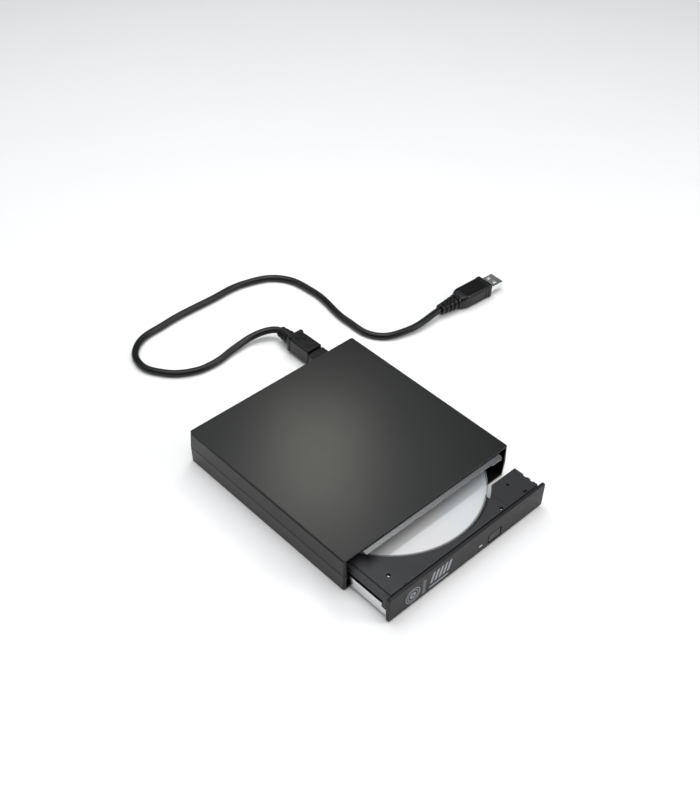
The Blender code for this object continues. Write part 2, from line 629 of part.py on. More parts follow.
def make_pickup():
    y = LENS_AT
    arms = (y - 11.0, y - 1.5)
    sled = box("pickup_sled", (-13, arms[0], 5.4), (13, y + 4.5, 9.7), MAT["chip"])
    join(sled, box("add_arms", (-27, arms[0] + 0.3, 5.55), (20, arms[1], 9.55)))
    for number, x in enumerate((-ROD_X, ROD_X), 1):
        cut(sled, rod(f"cut_sled_rod_{number}", (x, arms[0] - 3, ROD_Z), 20, ROD_R + 0.35,
                      "Y", sides=16))
    cut(sled, rod("cut_sled_screw", (SCREW_X, arms[0] - 3, FEED_Z), 20, SCREW_R + 0.3, "Y",
                  sides=16))
    cut(sled, rod("cut_lens_well", (0, y, 7.5), 5, 3.9, sides=28))
    lens = turned("objective_lens",
                  [(0, 10.4), (1.6, 10.25), (2.4, 9.9), (3.4, 9.9), (3.4, 8.3), (0, 8.3)],
                  (0, y, 0), MAT["glass"], 28)
    motor = rod("feed_motor", (SCREW_X, -4.0, FEED_Z), 13.0, 2.25, "Y", MAT["steel"], 24)
    screw = rod("lead_screw", (SCREW_X, 9.6, FEED_Z), 45.0, SCREW_R, "Y", MAT["bright"], 16)
    place_in(SPINDLE, sled, lens, motor, screw)


LATCH_PIVOT = (30.0, FRONT_Y - 12.0)


def make_latch():
    px, py = LATCH_PIVOT
    tip_y = FRONT_Y - 24.0
    lever = plate("latch_lever",
                  [(px - 1.9, py + 1.9), (px + 1.9, py + 1.9), (px + 4.4, tip_y + 1.2),
                   (px + 6.1, tip_y + 1.2), (px + 6.1, tip_y - 0.9), (px + 2.6, tip_y - 0.9),
                   (px + 0.4, py - 6.5), (px - 1.9, py - 1.9)],
                  9.1, 10.3, MAT["white"])
    box("latch_solenoid", (14.0, FRONT_Y - 21.5, 5.0), (25.0, FRONT_Y - 14.5, 10.4),
        MAT["copper"], edge=0.5)
    cut(bpy.data.objects["latch_solenoid"],
        rod("cut_solenoid", (17.0, FRONT_Y - 18.0, 8.8), 10, 1.3, "X", sides=16))
    rod("latch_plunger", (18.4, FRONT_Y - 18.0, 8.8), 10.8, 1.0, "X", MAT["bright"], 16)
    return lever


# ---------------------------------------------------------------- cable

CABLE_PATH = (
    (PLUG_X - 0.3, 118.9, PLUG_Z), (48.4, 121.0, 7.45), (44.8, 124.6, 6.9),
    (35, 128.6, 5.4), (18, 128.8, 3.5),
    (-2, 126.6, LYING_Z), (-18, 129.5, LYING_Z), (-33, 141.5, LYING_Z),
    (-39, 157.8, LYING_Z), (-29, 174.8, LYING_Z), (-2, 181.0, LYING_Z),
    (38, 182.0, LYING_Z), (70, 180.8, LYING_Z), (93, 168.5, LYING_Z),
    (100, 142.0, LYING_Z), (95.5, 101.0, LYING_Z), (99.5, 76.0, LYING_Z),
    (118, 65.6, 3.6), (USB_A_AT[0], USB_A_AT[1], USB_A_AT[2]),
)


def ribbed(name, start, length, radius_low, radius_high, rings, mat, direction):
    """A strain relief: a taper with raised rings, along +Y or turned to a direction."""
    profile = [(0, 0)]
    for ring in range(rings):
        a = ring / rings
        b = (ring + 0.55) / rings
        c = (ring + 1) / rings
        radius = radius_low + (radius_high - radius_low) * (ring + 1) / rings
        profile += [(radius, a * length), (radius, b * length),
                    (radius - 0.7, b * length), (radius - 0.7, c * length)]
    profile += [(0, length)]
    piece = turned(name, profile[::-1], (0, 0, 0), mat, 24)
    piece.rotation_euler = Vector((0, 0, 1)).rotation_difference(Vector(direction)).to_euler()
    piece.location = Vector(start) * MM
    return piece


def make_drive_plug():
    y0 = BACK_Y + DRAFT + GAP
    body = box("drive_plug", (PLUG_X - 6.2, y0 + 16.5, PLUG_Z - 6.0),
               (PLUG_X + 6.2, y0 + 36.0, PLUG_Z + 6.4), MAT["cable"], edge=1.1)
    join(body, box("add_plug_collar", (PLUG_X - 6.6, y0 + 4.0, PLUG_Z - 5.2),
                   (PLUG_X + 6.6, y0 + 15.8, PLUG_Z + 4.9), edge=0.9))
    join(body, box("add_plug_neck", (PLUG_X - 4.4, y0 + 0.1, PLUG_Z - 3.8),
                   (PLUG_X + 4.4, y0 + 18.0, PLUG_Z + 4.0), edge=0.4))
    join(body, box("add_plug_flange", (PLUG_X - 6.6, y0 + 34.6, PLUG_Z - 5.6),
                   (PLUG_X + 6.6, y0 + 37.0, PLUG_Z + 7.3), edge=0.5))
    relief = ribbed("add_plug_relief", (PLUG_X - 0.3, y0 + 50.0, PLUG_Z), 14.0, 3.5, 5.2, 4,
                    None, (0, -1, 0))
    join(body, relief)
    shell = box("drive_plug_shell", (PLUG_X - 3.3, BACK_Y - 5.8, PLUG_Z - 1.8),
                (PLUG_X + 3.3, y0 - 0.1, PLUG_Z + 1.6), MAT["bright"], edge=0.2)
    cut(shell, box("cut_plug_shell", (PLUG_X - 2.9, BACK_Y - 10, PLUG_Z - 1.4),
                   (PLUG_X + 2.9, BACK_Y - 2.0, PLUG_Z + 1.2)))
    return body


def make_usb_a():
    """The computer-side plug, built along +X and turned about its strain relief."""
    relief = ribbed("add_a_relief", (0.3, 0, 0), 18.0, 3.6, 5.5, 5, None, (1, 0, 0))
    body = box("usb_a_plug", (17.0, -6.9, -5.5), (43.0, 6.9, 5.5), MAT["cable"], edge=1.0)
    join(body, relief)
    join(body, box("add_a_flange", (42.0, -7.3, -5.6), (45.2, 7.3, 5.6), edge=0.4))
    shell = box("usb_a_shell", (45.5, -6.0, -2.25), (57.5, 6.0, 2.25), MAT["bright"])
    cut(shell, box("cut_a_shell", (46.5, -5.65, -1.9), (60, 5.65, 1.9)))
    tongue = box("usb_a_tongue", (46.9, -5.3, 0.0), (56.6, 5.3, 1.6), MAT["white"])
    holder = bpy.data.objects.new("usb_a_frame", None)
    holder.location = Vector(USB_A_AT) * MM
    holder.rotation_euler.z = USB_A_ANGLE
    PARTS.objects.link(holder)
    place_in(holder, body, shell, tongue)
    return body


def make_cable():
    return wire("usb_cable", CABLE_PATH, CABLE_R, MAT["cable"], resolution=4)


# ---------------------------------------------------------------- build

clear_scene()
PARTS = new_collection("external_optical_drive")
CUTTERS = new_collection("cutters")
MAT = make_materials()
SPINDLE = bpy.data.objects.new("spindle_frame", None)
SPINDLE.location = Vector((DISC_X, DISC_Y, SPINDLE_RAISE)) * MM
SPINDLE.rotation_euler.z = FEED_ANGLE
PARTS.objects.link(SPINDLE)

make_covers()
make_drive_case()
make_boards()
make_rails()
make_tray()
make_front()
make_tray_underside()
make_mechanism()
make_latch()
make_drive_plug()
make_usb_a()
make_cable()

disc = turned("disc", [(DISC_HOLE_R, DISC_Z[1]), (DISC_R, DISC_Z[1]), (DISC_R, DISC_Z[0]),
                       (DISC_HOLE_R, DISC_Z[0])], (DISC_X, DISC_Y, 0), MAT["disc"], 96)
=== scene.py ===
"""Looks of the external optical drive: finer pieces, procedural materials and a studio.

Sizes are in millimetres and the helpers turn them into metres. The frame is the
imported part's own: +X to the right of the tray's front, -Y out of it, +Z up.
"""

import json
from math import cos, pi, radians, sin

import bmesh
import bpy
from mathutils import Matrix, Vector


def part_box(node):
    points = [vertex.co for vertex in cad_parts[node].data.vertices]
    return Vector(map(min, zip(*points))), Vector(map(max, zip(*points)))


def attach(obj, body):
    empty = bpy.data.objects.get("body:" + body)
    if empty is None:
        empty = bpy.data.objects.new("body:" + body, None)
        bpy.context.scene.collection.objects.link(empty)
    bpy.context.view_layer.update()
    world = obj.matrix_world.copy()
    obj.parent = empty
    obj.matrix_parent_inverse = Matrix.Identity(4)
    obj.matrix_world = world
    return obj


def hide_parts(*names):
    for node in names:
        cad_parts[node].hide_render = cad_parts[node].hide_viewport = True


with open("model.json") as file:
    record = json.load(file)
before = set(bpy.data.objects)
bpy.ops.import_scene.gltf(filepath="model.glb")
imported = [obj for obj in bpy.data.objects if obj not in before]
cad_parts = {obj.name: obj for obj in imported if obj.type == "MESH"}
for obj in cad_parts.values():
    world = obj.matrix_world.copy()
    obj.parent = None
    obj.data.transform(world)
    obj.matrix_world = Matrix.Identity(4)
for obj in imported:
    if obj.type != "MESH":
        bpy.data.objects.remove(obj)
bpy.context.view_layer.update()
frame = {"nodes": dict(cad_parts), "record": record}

MM = 0.001
GAP = 0.3
OVERSHOOT = 2.0
WELD_M = 0.000002
SAME = 1e-6

CASE_W, CASE_D, CASE_H = 133.0, 134.5, 24.5
CASE_WALL, CASE_FLOOR, TOP_WALL = 1.8, 1.6, 0.8
CASE_CORNER_R = 1.4
DRAFT = 0.4
PARTING_Z = 11.7
FRONT_Y, BACK_Y = -CASE_D / 2, CASE_D / 2
GROOVE_Z = (22.9, 23.6)
GROOVE_DEEP = 0.6
COVER_SCREWS_X = (-45.0, 20.0)
SCREW_ROW_Y = BACK_Y - 3.9
SCREW_HOLE_R, SCREW_HEAD_R, SCREW_BORE_R = 1.2, 2.2, 1.15
BOSS_R, BOSS_Z = 1.9, 3.0
PAD_R, PAD_THICK = 4.5, 0.6
PAD_PLACES = [(sx * (CASE_W / 2 - 10), sy * (CASE_D / 2 - 12))
              for sx, sy in ((-1, -1), (1, -1), (-1, 1), (1, 1))]
PORT_HALF_W, PORT_Z = 4.6, 3.6
AIR_SLOT_PITCH, AIR_ROW_Y = 6.0, 46.0

DRIVE_HALF_W = 64.0
PAN_FRONT_Y = FRONT_Y + 5.0
PAN_BACK_Y = FRONT_Y + 126.6
PLATE_Z = (22.8, 23.4)
LIP, LIP_LEFT, LIP_RIGHT, LIP_END_R = 3.4, -53.5, 46.0, 3.0
LID_RIBS_X, LID_RIB_W, LID_RIB_L = (-34.0, 0.0, 34.0), 5.0, 92.0
RAIL_SHEET_X, RAIL_SHEET_Z, RAIL_BAND, RAIL_LEAN = 0.5, 0.6, 2.4, 0.45
RAIL_SLOT_FIRST, RAIL_SLOT_PITCH, RAIL_SLOTS = 38.0, 17.0, 5

BEZEL_W = 128.0
BEZEL_Z = (1.0, 19.0)
BEZEL_THICK = 2.2
SEAM = 0.9
BEZEL_Y = FRONT_Y - 32.0
BUTTON_X, BUTTON_Z, BUTTON_W, BUTTON_H = 21.1, 6.6, 10.0, 6.0
BUTTON_GAP = 0.65
LED_X, LED_Z = 9.3, 6.1
DECK_TOP, DECK_BOTTOM, WING_BOTTOM = 18.2, 12.9, 16.4
WING_DEEP = 17.6
WING_DENTS = ((3.1, 5.5), (7.9, 10.8))
SEAT_Z = 13.9
TRAY_LEFT, TRAY_RIGHT, WING_RIGHT = -62.9, 34.5, 60.6
TRAY_FRONT = BEZEL_Y + BEZEL_THICK + SEAM
TRAY_BACK = FRONT_Y + 94.5
SKIRT_LEFT, SKIRT_BOTTOM, SKIRT = -59.5, 3.9, 1.4
RECESS_R = 62.0
TAB_Z, TAB_DEEP = 8.0, 3.2
RIB_OUT_LEFT, RIB_OUT_RIGHT = -62.2, 37.2
HUB_WELL_R, SMALL_SEAT_R, EDGE_STEP = 16.6, (38.0, 41.0), (2.7, 0.8)
WING_HOLE, WING_SLOT = (47.0, FRONT_Y - 17.5), (50.8, FRONT_Y - 27.5)
MARK_WELL = (-49.7, FRONT_Y - 28.4)
TRAY_SCREWS = ((-51.5, FRONT_Y - 18.3), (30.6, FRONT_Y - 27.0))

DISC_Y = FRONT_Y + 36.0
DISC_Z = (14.5, 15.7)
DISC_R, DISC_HOLE_R = 60.0, 7.5
SPINDLE_RAISE = 2.0
JAWS, HUB_FLUTES = 3, 12
SCREW_LENGTH, SCREW_R, THREAD_DEEP, THREAD_PITCH = 45.0, 1.5, 0.28, 3.0
SCREW_AT = (-24.0, 9.6, 7.55)
FEED_TURN = Matrix.Translation((0, DISC_Y, SPINDLE_RAISE)) @ Matrix.Rotation(radians(135), 4, "Z")

CABLE_R = 2.4
LYING_Z = CABLE_R + 0.15
PLUG_X, PLUG_Z = 49.6, 7.5
USB_A_AT = (149.8, 64.6, 5.8)
USB_A_TURN = Matrix.Translation(USB_A_AT) @ Matrix.Rotation(radians(-93), 4, "Z")
CABLE_PATH = (
    (PLUG_X - 0.3, 118.9, PLUG_Z), (48.4, 121.0, 7.45), (44.8, 124.6, 6.9),
    (35, 128.6, 5.4), (18, 128.8, 3.5),
    (-2, 126.6, LYING_Z), (-18, 129.5, LYING_Z), (-33, 141.5, LYING_Z),
    (-39, 157.8, LYING_Z), (-29, 174.8, LYING_Z), (-2, 181.0, LYING_Z),
    (38, 182.0, LYING_Z), (70, 180.8, LYING_Z), (93, 168.5, LYING_Z),
    (100, 142.0, LYING_Z), (95.5, 101.0, LYING_Z), (99.5, 76.0, LYING_Z),
    (118, 65.6, 3.6), USB_A_AT,
)

SLOTS = {row["node"]: row["material_slot"] for row in frame["record"]["subparts"]}
BODIES = {node: body for body, nodes in frame["record"]["behaviour"]["bodies"].items()
          for node in nodes}


# ---------------------------------------------------------------- materials

def feed(tree, socket, value):
    """Links another node's output to a socket, or sets the socket's own value."""
    if isinstance(value, bpy.types.NodeSocket):
        tree.links.new(value, socket)
    else:
        socket.default_value = value


def add(tree, kind, inputs=None, **settings):
    """A shader node, with its inputs fed by name or number."""
    made = tree.nodes.new("ShaderNode" + kind)
    for key, value in settings.items():
        setattr(made, key, value)
    for key, value in (inputs or {}).items():
        feed(tree, made.inputs[key], value)
    return made


def remap(tree, value, low, high, start=0.0, end=1.0):
    """A value's stretch from start to end spread over low to high."""
    return add(tree, "MapRange", {"Value": value, "From Min": start, "From Max": end,
                                  "To Min": low, "To Max": high}).outputs["Result"]


def noise(tree, where, size_mm, detail=3.0, rough=0.55):
    """Noise whose features are about size_mm across."""
    return add(tree, "TexNoise", {"Vector": where, "Scale": 1 / (size_mm * MM),
                                  "Detail": detail, "Roughness": rough}).outputs["Fac"]


def stretched(tree, where, scale, turn=0.0):
    """Coordinates scaled along each axis and turned about Z."""
    return add(tree, "Mapping", {"Vector": where, "Scale": scale,
                                 "Rotation": (0, 0, turn)}).outputs["Vector"]


def times(tree, colour, factor):
    """A colour made lighter or darker by a factor socket."""
    return add(tree, "VectorMath", {0: colour, "Scale": factor},
               operation="SCALE").outputs["Vector"]


def edge_mask(tree, radius_mm):
    """1 along sharp edges, 0 on flat faces."""
    soft = add(tree, "Bevel", {"Radius": radius_mm * MM}, samples=4).outputs["Normal"]
    flat = add(tree, "NewGeometry").outputs["Normal"]
    dot = add(tree, "VectorMath", {0: soft, 1: flat}, operation="DOT_PRODUCT")
    return remap(tree, dot.outputs["Value"], 1.0, 0.0, 0.90, 0.995)


def start_material(name):
    """A new material with its node tree, its main shader and the object's coordinates."""
    mat = bpy.data.materials.new(name)
    mat.use_nodes = True
    tree = mat.node_tree
    return mat, tree, tree.nodes["Principled BSDF"], add(tree, "TexCoord").outputs["Object"]


def link(tree, shader, **sockets):
    """Feeds a shader's inputs, named with _ for each space."""
    for key, value in sockets.items():
        feed(tree, shader.inputs[key.replace("_", " ")], value)


def moulded(name, colour, rough, grain=0.35, depth=0.5, mottle=0.2, wear=0.25, cloud=28.0,
            smear=0.05, **extra):
    """Moulded plastic or coated metal: fine grain, cloudy tone and rubbed edges."""
    mat, tree, shader, where = start_material(name)
    fine = noise(tree, where, grain, 2.0)
    tone = remap(tree, noise(tree, where, cloud, 4.0), 1 - mottle, 1 + mottle, 0.3, 0.7)
    speck = remap(tree, fine, 0.86, 1.14, 0.3, 0.7)
    both = add(tree, "Math", {0: tone, 1: speck}, operation="MULTIPLY").outputs[0]
    base = times(tree, (*colour,), both)
    rubbed = add(tree, "Math", {0: edge_mask(tree, 0.35),
                                1: remap(tree, noise(tree, where, 1.8), 0, wear, 0.35, 0.65)},
                 operation="MULTIPLY").outputs[0]
    light = tuple(0.25 + 0.6 * c for c in colour)
    mixed = add(tree, "MixRGB", {"Fac": rubbed, "Color1": base, "Color2": (*light, 1)})
    streaks = remap(tree, noise(tree, where, 6.0, 5.0, 0.7), rough - smear, rough + smear,
                    0.3, 0.7)
    bump = add(tree, "Bump", {"Height": fine, "Strength": depth, "Distance": 0.02 * MM})
    link(tree, shader, Base_Color=mixed.outputs["Color"], Roughness=streaks,
         Normal=bump.outputs["Normal"], **extra)
    return mat


def metal(name, colour, rough, along=(1, 30, 1), spangle=0.0, mottle=0.12):
    """Sheet or turned metal with fine brush lines, and zinc spangle where it has one."""
    mat, tree, shader, where = start_material(name)
    lines = noise(tree, stretched(tree, where, along), 2.0, 3.0, 0.7)
    tone = remap(tree, lines, 1 - mottle, 1 + mottle, 0.3, 0.7)
    cells = add(tree, "TexVoronoi", {"Vector": where, "Scale": 1 / (3.5 * MM)})
    shade = remap(tree, cells.outputs["Distance"], 1 + spangle, 1 - spangle, 0, 1)
    both = add(tree, "Math", {0: tone, 1: shade}, operation="MULTIPLY").outputs[0]
    smudge = noise(tree, where, 14.0, 4.0)
    bump = add(tree, "Bump", {"Height": lines, "Strength": 0.3, "Distance": 0.01 * MM})
    link(tree, shader, Base_Color=times(tree, colour, both), Metallic=1.0,
         Roughness=remap(tree, smudge, rough - 0.07, rough + 0.1, 0.3, 0.7),
         Normal=bump.outputs["Normal"])
    return mat


def disc_material(name):
    """Silver recordable disc: clear hub, mirror band and a finely turned silver face."""
    mat, tree, shader, where = start_material(name)
    centred = add(tree, "VectorMath", {0: where, 1: (0, DISC_Y * MM, 0)},
                  operation="SUBTRACT").outputs["Vector"]
    flat = add(tree, "VectorMath", {0: centred, 1: (1, 1, 0)},
               operation="MULTIPLY").outputs["Vector"]
    radius = add(tree, "VectorMath", {0: flat}, operation="LENGTH").outputs["Value"]
    rings = add(tree, "TexNoise", {"W": radius, "Scale": 1 / (0.25 * MM), "Detail": 2.0},
                noise_dimensions="1D").outputs["Fac"]
    tint = add(tree, "ValToRGB", {"Fac": noise(tree, centred, 34.0, 1.0)})
    ramp = tint.color_ramp
    ramp.elements[0].position, ramp.elements[1].position = 0.34, 0.66
    ramp.elements[0].color = (0.60, 0.57, 0.58, 1)
    ramp.elements[1].color = (0.55, 0.58, 0.61, 1)
    middle = ramp.elements.new(0.5)
    middle.color = (0.58, 0.59, 0.58, 1)
    silver = times(tree, tint.outputs["Color"], remap(tree, rings, 0.94, 1.06, 0.3, 0.7))
    in_hub = remap(tree, radius, 1.0, 0.0, 21.4 * MM, 21.6 * MM)
    in_rim = remap(tree, radius, 0.0, 1.0, 58.8 * MM, 59.0 * MM)
    in_band = add(tree, "Math", {0: radius, 1: 22.6 * MM, 2: 0.7 * MM},
                  operation="COMPARE").outputs[0]
    clear = add(tree, "Math", {0: in_hub, 1: in_rim}, operation="MAXIMUM").outputs[0]
    rough = add(tree, "MixRGB", {"Fac": in_band, "Color1": (0.17, 0.17, 0.17, 1),
                                 "Color2": (0.06, 0.06, 0.06, 1)}).outputs["Color"]
    bump = add(tree, "Bump", {"Height": rings, "Strength": 0.15, "Distance": 0.01 * MM})
    tangent = add(tree, "Tangent", direction_type="RADIAL", axis="Z")
    link(tree, shader, Base_Color=silver, Roughness=rough, Anisotropic=0.35,
         Metallic=remap(tree, clear, 0.25, 0.0), Tangent=tangent.outputs["Tangent"],
         Normal=bump.outputs["Normal"], Coat_Weight=0.4, Coat_Roughness=0.08)
    glass = add(tree, "BsdfPrincipled", {"Base Color": (0.9, 0.92, 0.94, 1),
                                         "Roughness": 0.05, "IOR": 1.5,
                                         "Transmission Weight": 0.85})
    mix = add(tree, "MixShader", {0: clear, 1: shader.outputs["BSDF"],
                                  2: glass.outputs["BSDF"]})
    tree.links.new(mix.outputs[0], tree.nodes["Material Output"].inputs["Surface"])
    return mat


def board_material(name):
    """Green circuit board: solder mask over copper traces and tinned pads."""
    mat, tree, shader, where = start_material(name)
    traces = add(tree, "TexBrick", {"Vector": stretched(tree, where, (1, 1, 1), 0.8),
                                    "Scale": 1 / (9 * MM), "Mortar Size": 0.035,
                                    "Color1": (0.012, 0.11, 0.045, 1),
                                    "Color2": (0.014, 0.13, 0.05, 1),
                                    "Mortar": (0.03, 0.24, 0.09, 1)})
    dots = add(tree, "TexVoronoi", {"Vector": where, "Scale": 1 / (3.2 * MM)})
    pads = remap(tree, dots.outputs["Distance"], 1.0, 0.0, 0.14, 0.18)
    mixed = add(tree, "MixRGB", {"Fac": pads, "Color1": traces.outputs["Color"],
                                 "Color2": (0.7, 0.68, 0.6, 1)})
    bump = add(tree, "Bump", {"Height": traces.outputs["Fac"], "Strength": 0.2,
                              "Distance": 0.03 * MM})
    link(tree, shader, Base_Color=mixed.outputs["Color"], Metallic=pads, Roughness=0.35,
         Normal=bump.outputs["Normal"])
    return mat


def clear_material(name, colour, rough, through, milky):
    """A light guide or lens: clear with a little cloud inside."""
    mat, tree, shader, where = start_material(name)
    tone = remap(tree, noise(tree, where, 1.2), 1 - milky, 1.0, 0.3, 0.7)
    link(tree, shader, Base_Color=times(tree, colour, tone), IOR=1.49,
         Roughness=remap(tree, noise(tree, where, 0.8), rough, rough + 0.05),
         Transmission_Weight=through)
    return mat


def copper_material(name):
    """Enamelled wire wound round an upright axis."""
    mat, tree, shader, where = start_material(name)
    turns = add(tree, "TexWave", {"Vector": where, "Scale": 1 / (1.2 * MM),
                                  "Distortion": 0.6}, bands_direction="Z")
    tone = remap(tree, turns.outputs["Fac"], 0.55, 1.1)
    bump = add(tree, "Bump", {"Height": turns.outputs["Fac"], "Strength": 0.6,
                              "Distance": 0.05 * MM})
    link(tree, shader, Base_Color=times(tree, (0.62, 0.25, 0.1), tone), Metallic=0.9,
         Roughness=0.3, Coat_Weight=0.5, Normal=bump.outputs["Normal"])
    return mat


def make_materials():
    """One material for each slot in the record."""
    steel = (0.60, 0.61, 0.62)
    return {
        "shell": moulded("satin_black_coat", (0.0055, 0.0055, 0.0052), 0.31, grain=0.22,
                         depth=0.3, mottle=0.12, wear=0.3, cloud=45.0, smear=0.012,
                         Specular_IOR_Level=0.33),
        "tray_plastic": moulded("tray_plastic", (0.018, 0.018, 0.021), 0.46, grain=0.3,
                                depth=0.6, Specular_IOR_Level=0.35),
        "bezel_plastic": moulded("bezel_plastic", (0.0065, 0.0065, 0.008), 0.44, grain=0.3,
                                 depth=0.6, Specular_IOR_Level=0.28),
        "button_plastic": moulded("button_plastic", (0.007, 0.007, 0.008), 0.36, grain=0.2,
                                  depth=0.3, Specular_IOR_Level=0.4),
        "led_lens": clear_material("led_window", (0.88, 0.9, 0.88), 0.2, 0.12, 0.15),
        "rubber": moulded("rubber", (0.016, 0.016, 0.016), 0.82, grain=0.5, depth=0.7,
                          wear=0.1),
        "sheet_steel": metal("zinc_plated_sheet", steel, 0.30, (30, 1, 1), spangle=0.10),
        "blackened_steel": moulded("blackened_steel", (0.009, 0.009, 0.0095), 0.45, grain=0.2,
                                   depth=0.2, wear=0.2, Metallic=0.5),
        "bright_steel": metal("nickel_plated_steel", (0.74, 0.75, 0.76), 0.20, (30, 1, 30),
                              mottle=0.07),
        "disc": disc_material("silver_disc"),
        "cable_jacket": moulded("soft_vinyl", (0.002, 0.002, 0.0024), 0.32, grain=0.5,
                                depth=0.25, mottle=0.1, wear=0.0, Specular_IOR_Level=0.3),
        "circuit_board": board_material("circuit_board"),
        "resin": moulded("chip_resin", (0.02, 0.02, 0.022), 0.5, grain=0.15, depth=0.5),
        "copper": copper_material("enamelled_winding"),
        "white_plastic": moulded("natural_acetal", (0.66, 0.66, 0.61), 0.42, grain=0.4,
                                 depth=0.2, mottle=0.05, wear=0.0, Subsurface_Weight=0.1,
                                 Subsurface_Scale=0.001),
        "spindle_plastic": moulded("spindle_plastic", (0.03, 0.03, 0.032), 0.32, grain=0.25,
                                   depth=0.2),
        "lens_glass": clear_material("coated_lens", (0.62, 0.7, 0.95), 0.02, 0.8, 0.05),
        "flex_film": moulded("polyimide_film", (0.42, 0.15, 0.03), 0.28, grain=0.6,
                             depth=0.2, wear=0.0),
    }


# ---------------------------------------------------------------- shapes

def finish_mesh(bm, name):
    """Turns a bmesh in millimetres into an object in metres."""
    bmesh.ops.scale(bm, vec=Vector((MM, MM, MM)), verts=bm.verts)
    bmesh.ops.recalc_face_normals(bm, faces=bm.faces)
    mesh = bpy.data.meshes.new(name)
    bm.to_mesh(mesh)
    bm.free()
    mesh.shade_smooth()
    obj = bpy.data.objects.new(name, mesh)
    bpy.context.scene.collection.objects.link(obj)
    return obj


def box(name, low, high, edge=0.0):
    """A box between two corners, with its edges rounded by edge."""
    bm = bmesh.new()
    bmesh.ops.create_cube(bm, size=1.0)
    bmesh.ops.scale(bm, vec=Vector(high) - Vector(low), verts=bm.verts)
    bmesh.ops.translate(bm, vec=(Vector(high) + Vector(low)) / 2, verts=bm.verts)
    if edge:
        bmesh.ops.bevel(bm, geom=list(bm.edges), offset=edge, segments=4, affect="EDGES",
                        profile=0.5)
    return finish_mesh(bm, name)


def upright_edges(bm):
    """The edges that run straight up."""
    return [e for e in bm.edges if abs(e.verts[0].co.z - e.verts[1].co.z) > SAME
            and (e.verts[0].co.xy - e.verts[1].co.xy).length < SAME]


AXES = {"X": Matrix.Rotation(pi / 2, 4, "Y"), "Y": Matrix.Rotation(-pi / 2, 4, "X"),
        "-Y": Matrix.Rotation(pi / 2, 4, "X"), "Z": Matrix.Identity(4)}


def turned(name, profile, at=(0, 0, 0), axis="Z", steps=96):
    """A (radius, height) profile turned about an axis: closed at radius 0, or a ring."""
    bm = bmesh.new()
    place = Matrix.Translation(at) @ AXES[axis]
    rings = []
    for radius, height in profile:
        if radius == 0:
            rings.append([bm.verts.new(place @ Vector((0, 0, height)))])
        else:
            rings.append([bm.verts.new(place @ Vector((radius * cos(2 * pi * i / steps),
                                                       radius * sin(2 * pi * i / steps),
                                                       height))) for i in range(steps)])
    pairs = list(zip(rings, rings[1:]))
    if all(radius > 0 for radius, _ in profile):
        pairs.append((rings[-1], rings[0]))
    for low, high in pairs:
        for i in range(steps):
            j = (i + 1) % steps
            corners = [low[i % len(low)], low[j % len(low)], high[j % len(high)],
                       high[i % len(high)]]
            corners = list(dict.fromkeys(corners))
            if len(corners) > 2:
                bm.faces.new(corners)
    return finish_mesh(bm, name)


def rod(name, at, length, radius, steps=48):
    """A plain upright rod that stands on a point."""
    return turned(name, [(0, 0), (radius, 0), (radius, length), (0, length)], at, steps=steps)


def plate(name, outline, low, high, axis="Z"):
    """A flat outline given a thickness along an axis."""
    bm = bmesh.new()
    if axis == "Z":
        corners = [bm.verts.new((a, b, low)) for a, b in outline]
        step = Vector((0, 0, high - low))
    elif axis == "Y":
        corners = [bm.verts.new((a, low, b)) for a, b in outline]
        step = Vector((0, high - low, 0))
    else:
        corners = [bm.verts.new((low, a, b)) for a, b in outline]
        step = Vector((high - low, 0, 0))
    raised = bmesh.ops.extrude_face_region(bm, geom=[bm.faces.new(corners)])
    verts = [v for v in raised["geom"] if isinstance(v, bmesh.types.BMVert)]
    bmesh.ops.translate(bm, vec=step, verts=verts)
    return finish_mesh(bm, name)


def arc(cx, cy, radius, start, end, steps):
    """Points on a circle from one angle to another, in degrees."""
    angles = [radians(start + (end - start) * i / steps) for i in range(steps + 1)]
    return [(cx + radius * cos(a), cy + radius * sin(a)) for a in angles]


def rounded_rect(cx, cy, width, height, radius, steps=8):
    """The outline of a rectangle with rounded corners."""
    points = []
    for sx, sy, turn in ((1, 1, 0), (-1, 1, 90), (-1, -1, 180), (1, -1, 270)):
        points += arc(cx + sx * (width / 2 - radius), cy + sy * (height / 2 - radius),
                      radius, turn, turn + 90, steps)
    return points


def loft(name, sections):
    """A closed skin through rounded rectangles: (y, cx, cz, width, height, radius) each."""
    bm = bmesh.new()
    loops = []
    for y, cx, cz, width, height, radius in sections:
        loops.append([bm.verts.new((a, y, b))
                      for a, b in rounded_rect(cx, cz, width, height, radius, 6)])
    bm.faces.new(loops[0])
    bm.faces.new(loops[-1])
    for one, two in zip(loops, loops[1:]):
        for i in range(len(one)):
            j = (i + 1) % len(one)
            bm.faces.new((one[i], one[j], two[j], two[i]))
    return finish_mesh(bm, name)


def boolean(obj, others, operation):
    """Adds a Boolean with each of the other shapes; settle() applies them."""
    for other in others:
        modifier = obj.modifiers.new(other.name, "BOOLEAN")
        modifier.object = other
        modifier.operation = operation
        modifier.solver = "EXACT"


def cut(obj, *cutters):
    """Takes shapes away from an object."""
    boolean(obj, cutters, "DIFFERENCE")


def join(obj, *additions):
    """Adds shapes to an object."""
    boolean(obj, additions, "UNION")


def remove_shapes(obj):
    """Deletes the shapes that an object's Booleans used."""
    used = [m.object for m in obj.modifiers if m.type == "BOOLEAN"]
    obj.modifiers.clear()
    for other in used:
        remove_shapes(other)
        bpy.data.objects.remove(other, do_unlink=True)


